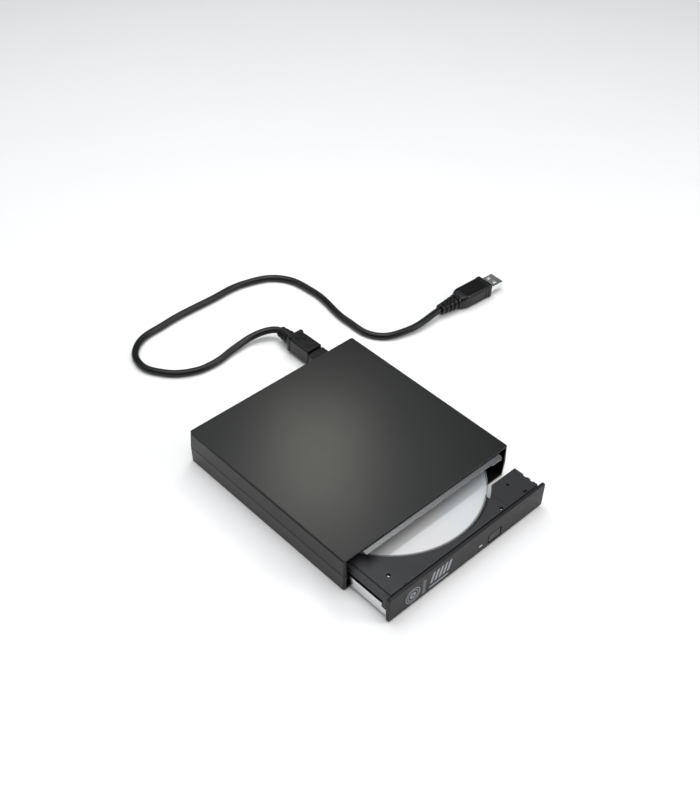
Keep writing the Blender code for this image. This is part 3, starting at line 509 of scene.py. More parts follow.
def settle(obj, edge=0.0, segments=3, angle=32):
    """Applies the Booleans, rounds the sharp edges and keeps the result as a plain mesh."""
    if edge:
        bevel = obj.modifiers.new("Edges", "BEVEL")
        bevel.width = edge * MM
        bevel.segments = segments
        bevel.limit_method = "ANGLE"
        bevel.angle_limit = radians(angle)
        bevel.use_clamp_overlap = False
    depsgraph = bpy.context.evaluated_depsgraph_get()
    mesh = bpy.data.meshes.new_from_object(obj.evaluated_get(depsgraph),
                                           preserve_all_data_layers=True,
                                           depsgraph=depsgraph)
    remove_shapes(obj)
    old = obj.data
    obj.data = mesh
    bpy.data.meshes.remove(old)
    mesh.name = obj.name
    mesh.set_sharp_from_angle(angle=radians(angle))
    weighted = obj.modifiers.new("Normals", "WEIGHTED_NORMAL")
    weighted.keep_sharp = True
    return obj


def scaled(matrix):
    """A placement in millimetres made ready for meshes in metres."""
    made = matrix.copy()
    made.translation *= MM
    return made


def show(obj, node, moved=None):
    """Puts a finished piece in the place of a CAD node, in its finish and on its body."""
    if moved is not None:
        obj.data.transform(scaled(moved))
    extra(obj, node, SLOTS[node])
    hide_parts(node)
    return obj


def shade_gap(obj):
    """Darkens the walls of the gap round the eject button, where hardly any light gets in."""
    obj.data.materials.append(GAP_SHADOW)
    reach = BUTTON_GAP + 0.1
    for face in obj.data.polygons:
        x, z = face.center.x / MM - BUTTON_X, face.center.z / MM - BUTTON_Z
        beside = abs(x) < BUTTON_W / 2 + reach and abs(z) < BUTTON_H / 2 + reach
        if beside and abs(face.normal.y) < 0.6:
            face.material_index = 1


def extra(obj, node, slot, mat=None):
    """A small piece that rides with a CAD node without standing for it."""
    obj.data.materials.clear()
    obj.data.materials.append(mat or MATERIALS[slot])
    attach(obj, BODIES[node])
    return obj


def refine(node, edge):
    """The CAD node's own shape with rounded edges and smooth curved sides."""
    bm = bmesh.new()
    bm.from_mesh(frame["nodes"][node].data)
    bmesh.ops.remove_doubles(bm, verts=bm.verts, dist=WELD_M)
    bmesh.ops.dissolve_limit(bm, angle_limit=radians(0.5), verts=bm.verts, edges=bm.edges)
    bmesh.ops.scale(bm, vec=Vector((1 / MM, 1 / MM, 1 / MM)), verts=bm.verts)
    return show(settle(finish_mesh(bm, node + "_fine"), edge, 2, 40), node)


def drafted(name, z_low, z_high, widen_low, widen_high, rim=None):
    """A block of the enclosure's plan, with a different widening at bottom and top."""
    half_w, half_d = CASE_W / 2, CASE_D / 2
    bm = bmesh.new()
    bmesh.ops.create_cube(bm, size=1.0)
    bmesh.ops.scale(bm, vec=(CASE_W, CASE_D, z_high - z_low), verts=bm.verts)
    middle = (z_low + z_high) / 2
    bmesh.ops.translate(bm, vec=(0, 0, middle), verts=bm.verts)
    bmesh.ops.bevel(bm, geom=upright_edges(bm), offset=CASE_CORNER_R, segments=10,
                    affect="EDGES", profile=0.5)
    for vert in bm.verts:
        widen = widen_high if vert.co.z > middle else widen_low
        vert.co.x *= 1 + widen / half_w
        vert.co.y *= 1 + widen / half_d
    if rim:
        z_rim = z_high if rim > 0 else z_low
        edges = [e for e in bm.edges if all(abs(v.co.z - z_rim) < SAME for v in e.verts)]
        bmesh.ops.bevel(bm, geom=edges, offset=abs(rim), segments=4, affect="EDGES",
                        profile=0.5)
    return finish_mesh(bm, name)


# ---------------------------------------------------------------- enclosure

def make_covers():
    """The two shells of the enclosure, their screws and the pads under them."""
    half_in = DRIVE_HALF_W + 0.7
    low, high = FRONT_Y - OVERSHOOT, BACK_Y - CASE_WALL
    bottom = drafted("bottom_shell", 0, PARTING_Z, 0, DRAFT, rim=-0.4)
    cut(bottom, box("c", (-half_in, low, CASE_FLOOR), (half_in, high, PARTING_Z + 2)))
    top = drafted("top_shell", PARTING_Z + GAP, CASE_H, DRAFT, 0, rim=0.4)
    cut(top, box("c", (-half_in, low, PARTING_Z - 2), (half_in, high, CASE_H - TOP_WALL)))

    ring = drafted("c", *GROOVE_Z, OVERSHOOT, OVERSHOOT)
    cut(ring, drafted("c", GROOVE_Z[0] - 1, GROOVE_Z[1] + 1, -GROOVE_DEEP, -GROOVE_DEEP))
    cut(ring, box("c", (-CASE_W, FRONT_Y - 5, GROOVE_Z[0] - 1.5),
                  (CASE_W, FRONT_Y + 1.2, GROOVE_Z[1] + 1.5)))
    cut(top, ring)
    cut(bottom, box("c", (PLUG_X - PORT_HALF_W, BACK_Y - CASE_WALL - 1, PORT_Z),
                    (PLUG_X + PORT_HALF_W, BACK_Y + OVERSHOOT, PARTING_Z + OVERSHOOT)))

    for x in COVER_SCREWS_X:
        cut(bottom, rod("c", (x, SCREW_ROW_Y, -2), CASE_FLOOR + 4, SCREW_HOLE_R),
            rod("c", (x, SCREW_ROW_Y, -2), 2.8, SCREW_HEAD_R))
        join(top, rod("c", (x, SCREW_ROW_Y, BOSS_Z), CASE_H - TOP_WALL / 2 - BOSS_Z, BOSS_R))
        cut(top, rod("c", (x, SCREW_ROW_Y, BOSS_Z - 1), 7.0, SCREW_BORE_R))
    for x, y in PAD_PLACES:
        cut(bottom, rod("c", (x, y, -2), 2 + PAD_THICK + GAP, PAD_R + GAP, steps=64))
    # A plain sunk panel and two rows of air slots in the underside.
    cut(bottom, plate("c", rounded_rect(0, 8, 62, 40, 2.0), -2, 0.25))
    for row in (-1, 1):
        for number in range(9):
            x = (number - 4) * AIR_SLOT_PITCH
            cut(bottom, plate("c", rounded_rect(x, row * AIR_ROW_Y, 2.0, 9.0, 0.9), -2, 4))
    show(settle(bottom, 0.15), "bottom_cover")
    show(settle(top, 0.3), "top_cover")

    for number, x in enumerate(COVER_SCREWS_X, 1):
        cross_screw(f"cover_screw_{number}",
                    [(0, 0.05), (1.6, 0.05), (1.9, 0.2), (1.9, 0.5), (0.85, 1.1),
                     (0.85, 7.3), (0.6, 7.5), (0, 7.5)], (x, SCREW_ROW_Y, 0), 0.05)
    for number, (x, y) in enumerate(PAD_PLACES, 1):
        pad = turned(f"foot_pad_{number}",
                     [(0, 0.12), (3.0, 0.12), (3.3, 0), (4.2, 0), (4.45, 0.1), (PAD_R, 0.3),
                      (PAD_R, PAD_THICK), (0, PAD_THICK)], (x, y, 0), steps=64)
        show(settle(pad), f"foot_{number}")


def cross_screw(node, profile, at, z_head, depth=0.6, reach=0.95):
    """A screw with a cross recess in the head at z_head; depth is signed, into the head."""
    screw = turned(node + "_fine", profile, at, steps=32)
    for turn in (0, 1):
        long_x, long_y = (reach, reach / 5) if turn else (reach / 5, reach)
        z = sorted((z_head - depth, z_head + depth))
        cut(screw, box("c", (at[0] - long_x, at[1] - long_y, at[2] + z[0]),
                       (at[0] + long_x, at[1] + long_y, at[2] + z[1])))
    return show(settle(screw, 0.06, 2), node)


# ---------------------------------------------------------------- drive body

def make_drive_body():
    """The slim drive's lid, whose lip reaches out of the enclosure, its pan and its rails."""
    w = DRIVE_HALF_W
    front = FRONT_Y - LIP
    outline = [(-w, PAN_FRONT_Y), (LIP_LEFT, PAN_FRONT_Y), (LIP_LEFT, front),
               (LIP_RIGHT, front), (LIP_RIGHT + 1.1, front - 0.2),
               (LIP_RIGHT + 1.9, front - 0.8)]
    outline += arc(LIP_RIGHT + 9.0, front + 2.0, LIP_END_R, 270, 360, 10)
    outline += [(LIP_RIGHT + 9.0 + LIP_END_R, PAN_FRONT_Y), (w, PAN_FRONT_Y),
                (w, PAN_BACK_Y), (-w, PAN_BACK_Y)]
    cover = plate("drive_lid", outline, *PLATE_Z)
    # Pressed ribs that stiffen the lid, under the enclosure's top.
    for x in LID_RIBS_X:
        cut(cover, plate("c", rounded_rect(x, 0, LID_RIB_W, LID_RIB_L, 2.4),
                         PLATE_Z[1] - 0.2, CASE_H))
    show(settle(cover, 0.25, 3), "drive_top_plate")
    # The lid gets a darker, slightly rougher copy of the sheet metal; the darker colour is painted
    # shade for the dim reflection the lid shows.
    cover.data.materials[0] = metal("lid_sheet_painted_shade", (0.17, 0.17, 0.175), 0.34, (30, 1, 1),
                                    mottle=0.2)
    refine("drive_case", 0.1)
    refine("latch_post", 0.1)

    make_rail(-1, "rail_left")
    make_rail(1, "rail_right")
    refine("rail_guide_left", 0.1)


def make_rail(side, node):
    """A slide rail: a folded channel with a row of slots."""
    low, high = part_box(node)
    x_low, x_high = low.x / MM, high.x / MM
    y_low, y_high = low.y / MM, high.y / MM
    z_low, z_high = low.z / MM, high.z / MM
    bar = box(node + "_channel", (x_low, y_low, z_low), (x_high, y_high, z_high))
    if side < 0:
        # The lower part of the outer face leans in, and the top's front is notched.
        foot_x, band_z = x_low + RAIL_LEAN, z_high - RAIL_BAND
        lean = [(x_low - 2, z_low - 1), (foot_x, z_low - 1), (foot_x, z_low),
                (x_low, band_z), (x_low - 2, band_z)]
        cut(bar, plate("c", lean, y_low - 2, y_high + 2, "Y"),
            box("c", (x_low - 2, y_low - 2, TAB_Z - 0.4),
                (x_high + 2, TRAY_FRONT + TAB_DEEP + 0.4, z_high + 2)))
    inner = ((x_low + RAIL_SHEET_X, x_high + 2) if side < 0
             else (x_low - 2, x_high - RAIL_SHEET_X))
    cut(bar, box("c", (inner[0], y_low - 2, z_low + RAIL_SHEET_Z),
                 (inner[1], y_high + 2, z_high - RAIL_SHEET_Z)))
    middle = (z_low + z_high) / 2
    web_x = x_low - 1 if side < 0 else x_high - 1.5
    for number in range(RAIL_SLOTS):
        y = y_low + RAIL_SLOT_FIRST + number * RAIL_SLOT_PITCH
        cut(bar, plate("c", rounded_rect(y, middle, 7.0, 1.3, 0.6), web_x, web_x + 2.5, "X"))
    show(settle(bar, 0.14, 3), node)


# ---------------------------------------------------------------- tray

def make_tray():
    """The disc tray: a deck with the disc's recess, a thin wing and a skirt below."""
    tray = box("tray_moulding", (TRAY_LEFT, TRAY_FRONT, DECK_BOTTOM),
               (TRAY_RIGHT, TRAY_BACK, DECK_TOP))
    outline = [(TRAY_RIGHT - 4, TRAY_FRONT), (WING_RIGHT, TRAY_FRONT)]
    for start, end in WING_DENTS:
        outline += [(WING_RIGHT, TRAY_FRONT + start),
                    (WING_RIGHT - 0.8, TRAY_FRONT + start + 0.5),
                    (WING_RIGHT - 0.8, TRAY_FRONT + end - 0.5), (WING_RIGHT, TRAY_FRONT + end)]
    outline += [(WING_RIGHT, TRAY_FRONT + WING_DEEP), (TRAY_RIGHT - 4, TRAY_FRONT + WING_DEEP)]
    wing = plate("c", outline, WING_BOTTOM, DECK_TOP)
    outer = box("c", (SKIRT_LEFT, TRAY_FRONT, SKIRT_BOTTOM),
                (TRAY_RIGHT, TRAY_BACK, DECK_BOTTOM + 1))
    cut(outer, box("c", (SKIRT_LEFT + SKIRT, TRAY_FRONT + SKIRT, SKIRT_BOTTOM - 2),
                   (TRAY_RIGHT - SKIRT, TRAY_BACK - SKIRT, DECK_BOTTOM + 3)))
    ribs_y = (TRAY_FRONT + 45, TRAY_BACK - 2)
    join(tray, wing, outer,
         box("c", (RIB_OUT_LEFT, ribs_y[0], 5.6), (SKIRT_LEFT + 0.5, ribs_y[1], 8.0)),
         box("c", (TRAY_RIGHT - 0.5, ribs_y[0], 4.6), (RIB_OUT_RIGHT, ribs_y[1], 6.0)),
         box("c", (TRAY_LEFT, TRAY_FRONT, TAB_Z),
             (SKIRT_LEFT + 0.5, TRAY_FRONT + TAB_DEEP, DECK_BOTTOM + 0.5)))

    centre = (0, DISC_Y, SEAT_Z)
    window = plate("c", rounded_rect(0, 29.0, 27.0, 58.0, 2.0), 8, 14)
    window.data.transform(scaled(FEED_TURN))
    cut(tray, rod("c", centre, 8, RECESS_R, steps=192),
        turned("c", [(0, 8), (HUB_WELL_R, 8), (HUB_WELL_R, SEAT_Z - 0.4),
                     (HUB_WELL_R + 0.8, SEAT_Z + 0.1), (HUB_WELL_R + 0.8, SEAT_Z + 2),
                     (0, SEAT_Z + 2)], (0, DISC_Y, 0)), window)
    # Shallow seat for a small disc inside the large one.
    inner_r, outer_r = SMALL_SEAT_R
    cut(tray, turned("c", [(inner_r, SEAT_Z - 0.35), (outer_r, SEAT_Z - 0.35),
                           (outer_r, SEAT_Z + 2), (inner_r, SEAT_Z + 2)],
                     (0, DISC_Y, 0), steps=128))
    # A low step along the left edge.
    cut(tray, box("c", (TRAY_LEFT - 2, TRAY_FRONT - 2, DECK_TOP - EDGE_STEP[1]),
                  (TRAY_LEFT + EDGE_STEP[0], TRAY_BACK + 2, DECK_TOP + 2)))
    blind = WING_BOTTOM + 0.4
    cut(tray, rod("c", (*WING_HOLE, blind), 4, 1.2, steps=32),
        plate("c", rounded_rect(*WING_SLOT, 3.2, 1.6, 0.7), blind, 22))
    for x, y in TRAY_SCREWS:
        cut(tray, rod("c", (x, y, DECK_TOP - 2.3), 4, 1.2, steps=40))
    # A small hollow near the left front corner.
    cut(tray, plate("c", rounded_rect(*MARK_WELL, 3.0, 1.0, 0.45), DECK_TOP - 0.5, 22))
    # Ways through the skirt for the latch, the button's stem and the light window.
    cut(tray, box("c", (TRAY_RIGHT - 3, FRONT_Y - 28.2, 8.7), (TRAY_RIGHT + 3, FRONT_Y - 13, 10.8)),
        box("c", (16.5, TRAY_FRONT - 2, 4.6), (25.7, TRAY_FRONT + 3, 7.0)),
        box("c", (7.6, TRAY_FRONT - 2, LED_Z - 0.8), (11.0, TRAY_FRONT + 3, LED_Z + 0.8)))
    show(settle(tray, 0.16, 3), "tray")

    for side, (x, y) in zip(("left", "right"), TRAY_SCREWS):
        top = DECK_TOP - 1.2
        cross_screw(f"tray_screw_{side}",
                    [(0, top), (0.5, top), (0.72, top - 0.12), (0.85, top - 0.35),
                     (0.85, top - 0.9), (0, top - 0.9)], (x, y, 0), top, 0.3, 0.55)


def make_front():
    """The bezel with its eject button, light window and printed marks."""
    bezel = plate("tray_bezel", rounded_rect(0, sum(BEZEL_Z) / 2, BEZEL_W,
                                             BEZEL_Z[1] - BEZEL_Z[0], 1.2),
                  BEZEL_Y, BEZEL_Y + BEZEL_THICK, "Y")
    settle(bezel, 0.5, 4)
    cut(bezel, plate("c", rounded_rect(BUTTON_X, BUTTON_Z, BUTTON_W + 2 * BUTTON_GAP,
                                       BUTTON_H + 2 * BUTTON_GAP, 1.5), BEZEL_Y - 2,
                     BEZEL_Y + BEZEL_THICK + 2, "Y"),
        plate("c", rounded_rect(LED_X, LED_Z, 3.0, 1.3, 0.6), BEZEL_Y - 2,
              BEZEL_Y + BEZEL_THICK + 2, "Y"))
    show(settle(bezel, 0.08, 2), "bezel")
    shade_gap(bezel)

    button = plate("button_cap", rounded_rect(BUTTON_X, BUTTON_Z, BUTTON_W, BUTTON_H, 1.3),
                   BEZEL_Y + 0.1, BEZEL_Y + 1.5, "Y")
    join(button, box("c", (BUTTON_X - 4.2, BEZEL_Y + 1.0, 5.0),
                     (BUTTON_X + 4.2, TRAY_FRONT + SKIRT + 0.6, 6.6)))
    show(settle(button, 0.25, 4), "eject_button")
    shade_gap(button)

    window = plate("led_window", rounded_rect(LED_X, LED_Z, 2.7, 1.0, 0.45),
                   BEZEL_Y - 0.05, TRAY_FRONT + SKIRT + 1.0, "Y")
    show(settle(window, 0.12, 3), "led_lens")
    make_bezel_print()


def make_bezel_print():
    """Plain printed marks on the bezel: rings for a disc, and bars with no lettering."""
    low, high = BEZEL_Y - 0.03, BEZEL_Y + 0.06
    ring_x, ring_z = -45.8, 8.9
    mat = moulded("grey_print", (0.30, 0.32, 0.34), 0.5, grain=0.3, depth=0.3, mottle=0.25,
                  wear=0.0)
    marks = []
    for outer, inner in ((5.6, 5.0), (4.1, 3.6), (2.3, 0.9)):
        ring = plate("print_ring", arc(ring_x, ring_z, outer, 0, 360, 64)[:-1], low, high, "Y")
        cut(ring, plate("c", arc(ring_x, ring_z, inner, 0, 360, 48)[:-1],
                        low - 1, high + 1, "Y"))
        marks.append(ring)
    for number in range(6):
        dash = rounded_rect(-37.0, 4.2 + number * 1.9, 2.6, 0.7, 0.3)
        marks.append(plate("print_dash", dash, low, high, "Y"))
    marks.append(plate("print_bar", rounded_rect(-25.2, 4.6, 15.4, 1.3, 0.6), low, high, "Y"))
    for number in range(5):
        x = -32.4 + number * 3.3
        marks.append(plate("print_slash", [(x, 7.4), (x + 1.9, 7.4), (x + 4.0, 15.2),
                                           (x + 2.1, 15.2)], low, high, "Y"))
    for number, mark in enumerate(marks, 1):
        mark.name = f"bezel_mark_{number}"
        extra(settle(mark), "bezel", "bezel_plastic", mat)


# ---------------------------------------------------------------- disc and spindle

def make_disc():
    """The disc and the spindle parts that hold it."""
    low, high = DISC_Z
    profile = [(DISC_HOLE_R, low + 0.15), (DISC_HOLE_R + 0.15, low), (16.2, low),
               (16.6, low - 0.2), (17.6, low - 0.2), (18.0, low), (DISC_R - 0.3, low),
               (DISC_R, low + 0.25), (DISC_R, high - 0.25), (DISC_R - 0.3, high),
               (22.2, high), (21.9, high - 0.08), (21.4, high - 0.08), (21.1, high),
               (DISC_HOLE_R + 0.15, high), (DISC_HOLE_R, high - 0.15)]
    disc = turned("silver_disc", profile, (0, DISC_Y, 0), steps=256)
    show(settle(disc), "disc")

    hub = turned("spindle_hub",
                 [(0, 15.75), (1.2, 15.75), (1.5, 15.9), (4.4, 15.9), (5.2, 15.7),
                  (6.2, 15.2), (6.7, 14.6), (6.9, 14.0), (6.9, 12.5), (0, 12.5)], steps=96)
    for number in range(JAWS):
        slot = box("c", (3.4, -1.3, 13.6), (9, 1.3, 15.1), edge=0.2)
        slot.data.transform(Matrix.Rotation(2 * pi * number / JAWS, 4, "Z"))
        cut(hub, slot)
    for number in range(HUB_FLUTES):
        slot = box("c", (2.2, -0.25, 15.6), (3.6, 0.25, 17))
        slot.data.transform(Matrix.Rotation(2 * pi * (number + 0.5) / HUB_FLUTES, 4, "Z"))
        cut(hub, slot)
    show(settle(hub, 0.12, 2), "clamp_hub", moved=FEED_TURN)
    for number in range(JAWS):
        jaw = box(f"clamp_jaw_{number + 1}_fine", (4.6, -1.0, 13.95), (7.9, 1.0, 14.8),
                  edge=0.38)
        turn = FEED_TURN @ Matrix.Rotation(2 * pi * number / JAWS, 4, "Z")
        show(settle(jaw), f"clamp_jaw_{number + 1}", moved=turn)

    table = turned("spindle_table",
                   [(0, 12.2), (11.2, 12.2), (11.3, 12.05), (11.9, 12.05), (12.0, 12.2),
                    (13.2, 12.2), (13.5, 11.9), (13.5, 11.0), (11.8, 10.7), (11.8, 6.7),
                    (10.7, 6.7), (10.7, 9.6), (1.4, 9.6), (1.4, 5.6), (0, 5.6)], steps=128)
    show(settle(table), "turntable", moved=FEED_TURN)


def make_mechanism():
    """The parts under the tray, on the chassis."""
    for node in ("chassis", "pickup_sled"):
        refine(node, 0.12)
    for node in ("spindle_motor", "damper_1", "damper_2", "damper_3", "objective_lens"):
        refine(node, 0.08)
    for node in ("guide_rod_1", "guide_rod_2", "feed_motor"):
        refine(node, 0.15)
    for node in ("damper_screw_1", "damper_screw_2", "damper_screw_3"):
        refine(node, 0.1)
    for node in ("motor_coils", "latch_solenoid", "latch_plunger", "latch_lever",
                 "eject_switch", "main_board", "front_board", "tray_shield", "flex_cable",
                 "bridge_board", "bridge_chip", "drive_connector", "usb_socket"):
        refine(node, 0.05 if node == "flex_cable" else 0.1)
    thread = threaded("feed_thread", SCREW_LENGTH, SCREW_R, THREAD_DEEP, THREAD_PITCH)
    show(settle(thread), "lead_screw",
         moved=FEED_TURN @ Matrix.Translation(SCREW_AT) @ AXES["Y"])


def threaded(name, length, radius, deep, pitch):
    """A right-hand screw thread along +Z from its own origin, with tapered ends."""
    sides, rings_per_turn = 32, 14
    bm = bmesh.new()
    count = int(length / pitch * rings_per_turn)
    rings = []
    for level in range(count + 1):
        z = length * level / count
        ends = min(1.0, (z + 0.2) / 1.5, (length - z + 0.2) / 1.5)
        ring = []
        for side in range(sides):
            phase = (z / pitch - side / sides) % 1.0
            crest = min(1.0, 2.2 * abs(phase - 0.5) * 2)
            r = (radius - deep * (1 - crest)) * (0.7 + 0.3 * ends)
            angle = 2 * pi * side / sides
            ring.append(bm.verts.new((r * cos(angle), r * sin(angle), z)))
        rings.append(ring)
    bm.faces.new(rings[0])
    bm.faces.new(rings[-1])
    for one, two in zip(rings, rings[1:]):
        for i in range(sides):
            j = (i + 1) % sides
            bm.faces.new((one[i], one[j], two[j], two[i]))
    return finish_mesh(bm, name)


# ---------------------------------------------------------------- cable and plugs

def relief_profile(length, radius_end, radius_body, rings):
    """Rings of a strain relief, growing from the cable end to the plug body."""
    profile = [(0, 0)]
    for ring in range(rings):
        a, b, c = ring / rings, (ring + 0.55) / rings, (ring + 1) / rings
        r = radius_end + (radius_body - radius_end) * (ring + 1) / rings
        groove = r - 0.7
        profile += [(r - 0.22, a * length), (r, a * length + 0.25), (r, b * length - 0.25),
                    (r - 0.22, b * length), (groove, b * length + 0.1),
                    (groove, c * length - 0.05)]
    profile += [(0, length - 0.05)]
    return profile


def make_drive_plug():
    """The plug in the enclosure's socket, built along +Y from its front end."""
    y0 = BACK_Y + DRAFT + GAP
    x, z = PLUG_X, PLUG_Z
    body = loft("drive_plug_moulding",
                [(y0 + 16.5, x, z + 0.2, 11.6, 11.6, 1.2), (y0 + 17.1, x, z + 0.2, 12.4, 12.4, 1.6),
                 (y0 + 27.0, x, z + 0.2, 12.4, 12.4, 1.6),
                 (y0 + 35.3, x, z + 0.2, 12.0, 12.2, 1.7),
                 (y0 + 36.0, x, z + 0.2, 11.2, 11.4, 1.5)])
    join(body, loft("c", [(y0 + 4.0, x, z - 0.15, 12.6, 9.5, 1.2),
                          (y0 + 4.5, x, z - 0.15, 13.2, 10.1, 1.5),
                          (y0 + 15.2, x, z - 0.15, 13.2, 10.1, 1.5),
                          (y0 + 15.8, x, z - 0.15, 12.4, 9.3, 1.2)]),
         loft("c", [(y0 + 0.1, x, z + 0.1, 8.4, 7.4, 0.6), (y0 + 0.4, x, z + 0.1, 8.8, 7.8, 0.8),
                    (y0 + 18.0, x, z + 0.1, 8.8, 7.8, 0.8)]),
         loft("c", [(y0 + 34.6, x, z + 0.85, 12.4, 12.1, 1.3),
                    (y0 + 35.1, x, z + 0.85, 13.2, 12.9, 1.7),
                    (y0 + 36.5, x, z + 0.85, 13.2, 12.9, 1.7),
                    (y0 + 37.0, x, z + 0.85, 12.4, 12.1, 1.3)]),
         turned("c", relief_profile(14.0, 3.5, 5.2, 4), (x - 0.3, y0 + 50.0, z), "-Y", 64))
    # Grip ridges near the front of the top and a blank round mark behind them.
    top = z + 6.4
    for number in range(4):
        y = y0 + 18.6 + number * 1.6
        cut(body, box("c", (x - 4.4, y, top - 0.45), (x + 4.4, y + 0.75, top + 2), edge=0.15))
    cut(body, turned("c", [(2.3, top - 0.22), (2.8, top - 0.22), (2.8, top + 1), (2.3, top + 1)],
                     (x, y0 + 29.6, 0), steps=48))
    show(settle(body, 0.15, 3), "drive_plug")
    refine("drive_plug_shell", 0.12)


def make_usb_a():
    """The computer-side plug, built along +Y from its strain relief and turned to +X."""
    body = loft("usb_a_moulding",
                [(16.6, 0, 0, 10.4, 8.6, 3.0), (19.5, 0, 0, 12.8, 10.6, 2.2),
                 (22.5, 0, 0, 13.6, 11.0, 1.8), (41.4, 0, 0, 13.8, 11.0, 1.8),
                 (43.0, 0, 0, 13.2, 10.4, 1.6)])
    join(body, loft("c", [(42.0, 0, 0, 14.0, 10.6, 1.5), (42.5, 0, 0, 14.6, 11.2, 1.9),
                          (44.7, 0, 0, 14.6, 11.2, 1.9), (45.2, 0, 0, 13.8, 10.4, 1.5)]),
         turned("c", relief_profile(18.0, 3.6, 5.5, 5), (0, 0.3, 0), "Y", 64))
    # Raised grip panels in the sides, inside a sunk frame.
    for side in (-1, 1):
        frame_cut = plate("c", rounded_rect(31.6, 0, 16.5, 7.6, 1.6), side * 6.5, side * 9.0, "X")
        cut(frame_cut, plate("c", rounded_rect(31.6, 0, 15.1, 6.2, 1.1), side * 6.0,
                             side * 10.0, "X"))
        cut(body, frame_cut)
    show(settle(body, 0.18, 3), "usb_a_plug", moved=USB_A_TURN)

    shell = loft("usb_a_sleeve", [(45.5, 0, 0, 12.0, 4.5, 0.45), (57.5, 0, 0, 12.0, 4.5, 0.45)])
    cut(shell, box("c", (-5.65, 46.5, -1.9), (5.65, 60, 1.9)))
    for z in (-3, 1):
        for px in (-2.9, 2.9):
            cut(shell, box("c", (px - 1.1, 50.4, z), (px + 1.1, 53.0, z + 2), edge=0.2))
    show(settle(shell, 0.1, 2), "usb_a_shell", moved=USB_A_TURN)

    tongue = box("usb_a_contact_bar", (-5.3, 46.9, 0.0), (5.3, 56.6, 1.6), edge=0.15)
    show(settle(tongue), "usb_a_tongue", moved=USB_A_TURN)
    gold = metal("gold_contact", (0.85, 0.6, 0.25), 0.25, mottle=0.1)
    for number, px in enumerate((-3.5, -1.1, 1.1, 3.5), 1):
        contact = box(f"usb_a_contact_{number}", (px - 0.55, 48.5, -0.12), (px + 0.55, 56.0, 0.1),
                      edge=0.05)
        contact.data.transform(scaled(USB_A_TURN))
        extra(settle(contact), "usb_a_tongue", "bright_steel", gold)


def make_cable():
    """One smooth round cable through the path's points."""
    curve = bpy.data.curves.new("cable_run", "CURVE")
    curve.dimensions = "3D"
    curve.bevel_depth = CABLE_R * MM
    curve.bevel_resolution = 6
    curve.use_fill_caps = True
    curve.resolution_u = 14
    spline = curve.splines.new("BEZIER")
    spline.bezier_points.add(len(CABLE_PATH) - 1)
    for knot, point in zip(spline.bezier_points, CABLE_PATH):
        knot.co = Vector(point) * MM
        knot.handle_left_type = knot.handle_right_type = "AUTO"
    guide = bpy.data.objects.new("cable_guide", curve)
    bpy.context.scene.collection.objects.link(guide)
    mesh = bpy.data.meshes.new_from_object(
        guide.evaluated_get(bpy.context.evaluated_depsgraph_get()))
    bpy.data.objects.remove(guide, do_unlink=True)
    bm = bmesh.new()
    bm.from_mesh(mesh)
    bpy.data.meshes.remove(mesh)
    bmesh.ops.remove_doubles(bm, verts=bm.verts, dist=WELD_M)
    bmesh.ops.scale(bm, vec=Vector((1 / MM, 1 / MM, 1 / MM)), verts=bm.verts)
    show(settle(finish_mesh(bm, "cable_run")), "usb_cable")


# ---------------------------------------------------------------- studio

CAMERA_AZIMUTH, CAMERA_ELEVATION, CAMERA_ROLL = -45.24, 42.4, 2.58
CAMERA_AIM = Vector((0, -7.25, 8.0))
CAMERA_DISTANCE, CAMERA_RIGHT, CAMERA_UP = 692.0, -3.70, 38.52
CAMERA_LENS = 51.94
FLOOR_HALF, FLOOR_DROP_M, WORLD_LIGHT = 1500, 0.00005, 0.16
SHEEN_SPOT = Vector((-42.0, -12.0, CASE_H))


def towards(azimuth, elevation):
    """Unit vector from the object to a viewer: azimuth 0 stands in front, -90 at its left."""
    a, e = radians(azimuth), radians(elevation)
    return Vector((sin(a) * cos(e), -cos(a) * cos(e), sin(e)))


def make_camera():
    """A camera that looks at the object from its front left, a little rolled."""
    back = towards(CAMERA_AZIMUTH, CAMERA_ELEVATION)
    level = (-back).cross(Vector((0, 0, 1))).normalized()
    rise = level.cross(-back)
    r = radians(CAMERA_ROLL)
    right = cos(r) * level + sin(r) * rise
    up = cos(r) * rise - sin(r) * level
    place = CAMERA_AIM + back * CAMERA_DISTANCE + right * CAMERA_RIGHT + up * CAMERA_UP
    data = bpy.data.cameras.new("camera")
    data.lens = CAMERA_LENS
    data.clip_start = 0.01
    data.clip_end = 20.0
    camera = bpy.data.objects.new("camera", data)
    bpy.context.scene.collection.objects.link(camera)
    camera.matrix_world = Matrix.Translation(place * MM) @ Matrix(
        (right, up, back)).transposed().to_4x4()
    bpy.context.scene.camera = camera


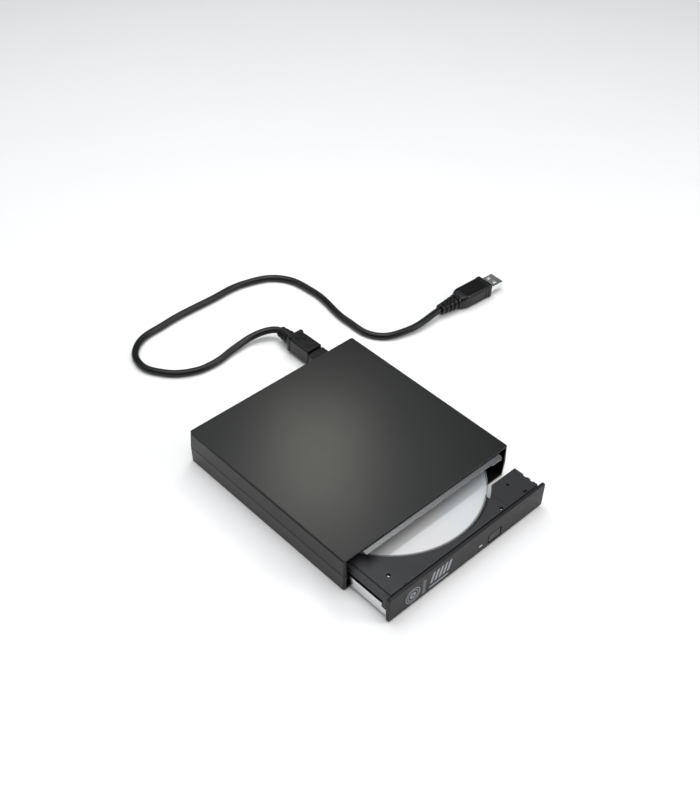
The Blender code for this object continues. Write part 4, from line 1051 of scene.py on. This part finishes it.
def softbox(name, azimuth, elevation, distance, width, height, power, colour=(1, 1, 1)):
    """A rectangular light that faces the object, sizes and distance in metres."""
    light = bpy.data.lights.new(name, "AREA")
    light.shape = "RECTANGLE"
    light.size, light.size_y = width, height
    light.energy = power
    light.color = colour
    obj = bpy.data.objects.new(name, light)
    back = towards(azimuth, elevation)
    obj.location = CAMERA_AIM * MM + back * distance
    obj.rotation_mode = "QUATERNION"
    obj.rotation_quaternion = back.to_track_quat("Z", "Y")
    obj.visible_camera = False
    bpy.context.scene.collection.objects.link(obj)
    return obj


def make_studio():
    """Pale floor, dim surroundings and soft lights."""
    bm = bmesh.new()
    bmesh.ops.create_grid(bm, x_segments=1, y_segments=1, size=FLOOR_HALF)
    floor = finish_mesh(bm, "floor")
    floor.location.z = -FLOOR_DROP_M
    mat, tree, shader, where = start_material("pale_floor")
    tone = remap(tree, noise(tree, where, 120.0), 0.985, 1.0, 0.3, 0.7)
    link(tree, shader, Base_Color=times(tree, (0.93, 0.93, 0.935), tone), Roughness=0.55)
    floor.data.materials.append(mat)

    world = bpy.data.worlds.new("studio")
    world.use_nodes = True
    background = world.node_tree.nodes["Background"]
    link(world.node_tree, background, Color=(1, 1, 1, 1), Strength=WORLD_LIGHT)
    bpy.context.scene.world = world
    softbox("overhead", -50, 83, 1.6, 1.6, 1.6, 20.0)
    softbox("fill", -70, 30, 1.8, 1.2, 0.8, 0.5)
    softbox("rim", 38, 32, 1.2, 0.5, 0.3, 5.0)
    softbox("left_rim", -129, 31, 1.2, 0.5, 0.3, 1.5)
    softbox("panel", 153, 61, 0.8, 0.7, 0.6, 1.6, (0.94, 1.0, 1.05))
    # A small sheen light whose reflection falls on the near left of the enclosure's top.
    sheen = softbox("sheen", 136, 44, 0.3, 0.08, 0.1, 0.11, (1.04, 1.04, 0.9))
    sheen.location += (SHEEN_SPOT - CAMERA_AIM) * MM
    bpy.context.scene.view_settings.view_transform = "Standard"


# ---------------------------------------------------------------- build

MATERIALS = make_materials()
GAP_SHADOW = moulded("gap_shadow", (0.001, 0.001, 0.001), 0.7, wear=0.0,
                     Specular_IOR_Level=0.05)
for node_name, node_object in frame["nodes"].items():
    node_object.data.materials.clear()
    node_object.data.materials.append(MATERIALS[SLOTS[node_name]])

make_covers()
make_drive_body()
make_tray()
make_front()
make_disc()
make_mechanism()
make_drive_plug()
make_usb_a()
make_cable()
make_camera()
make_studio()
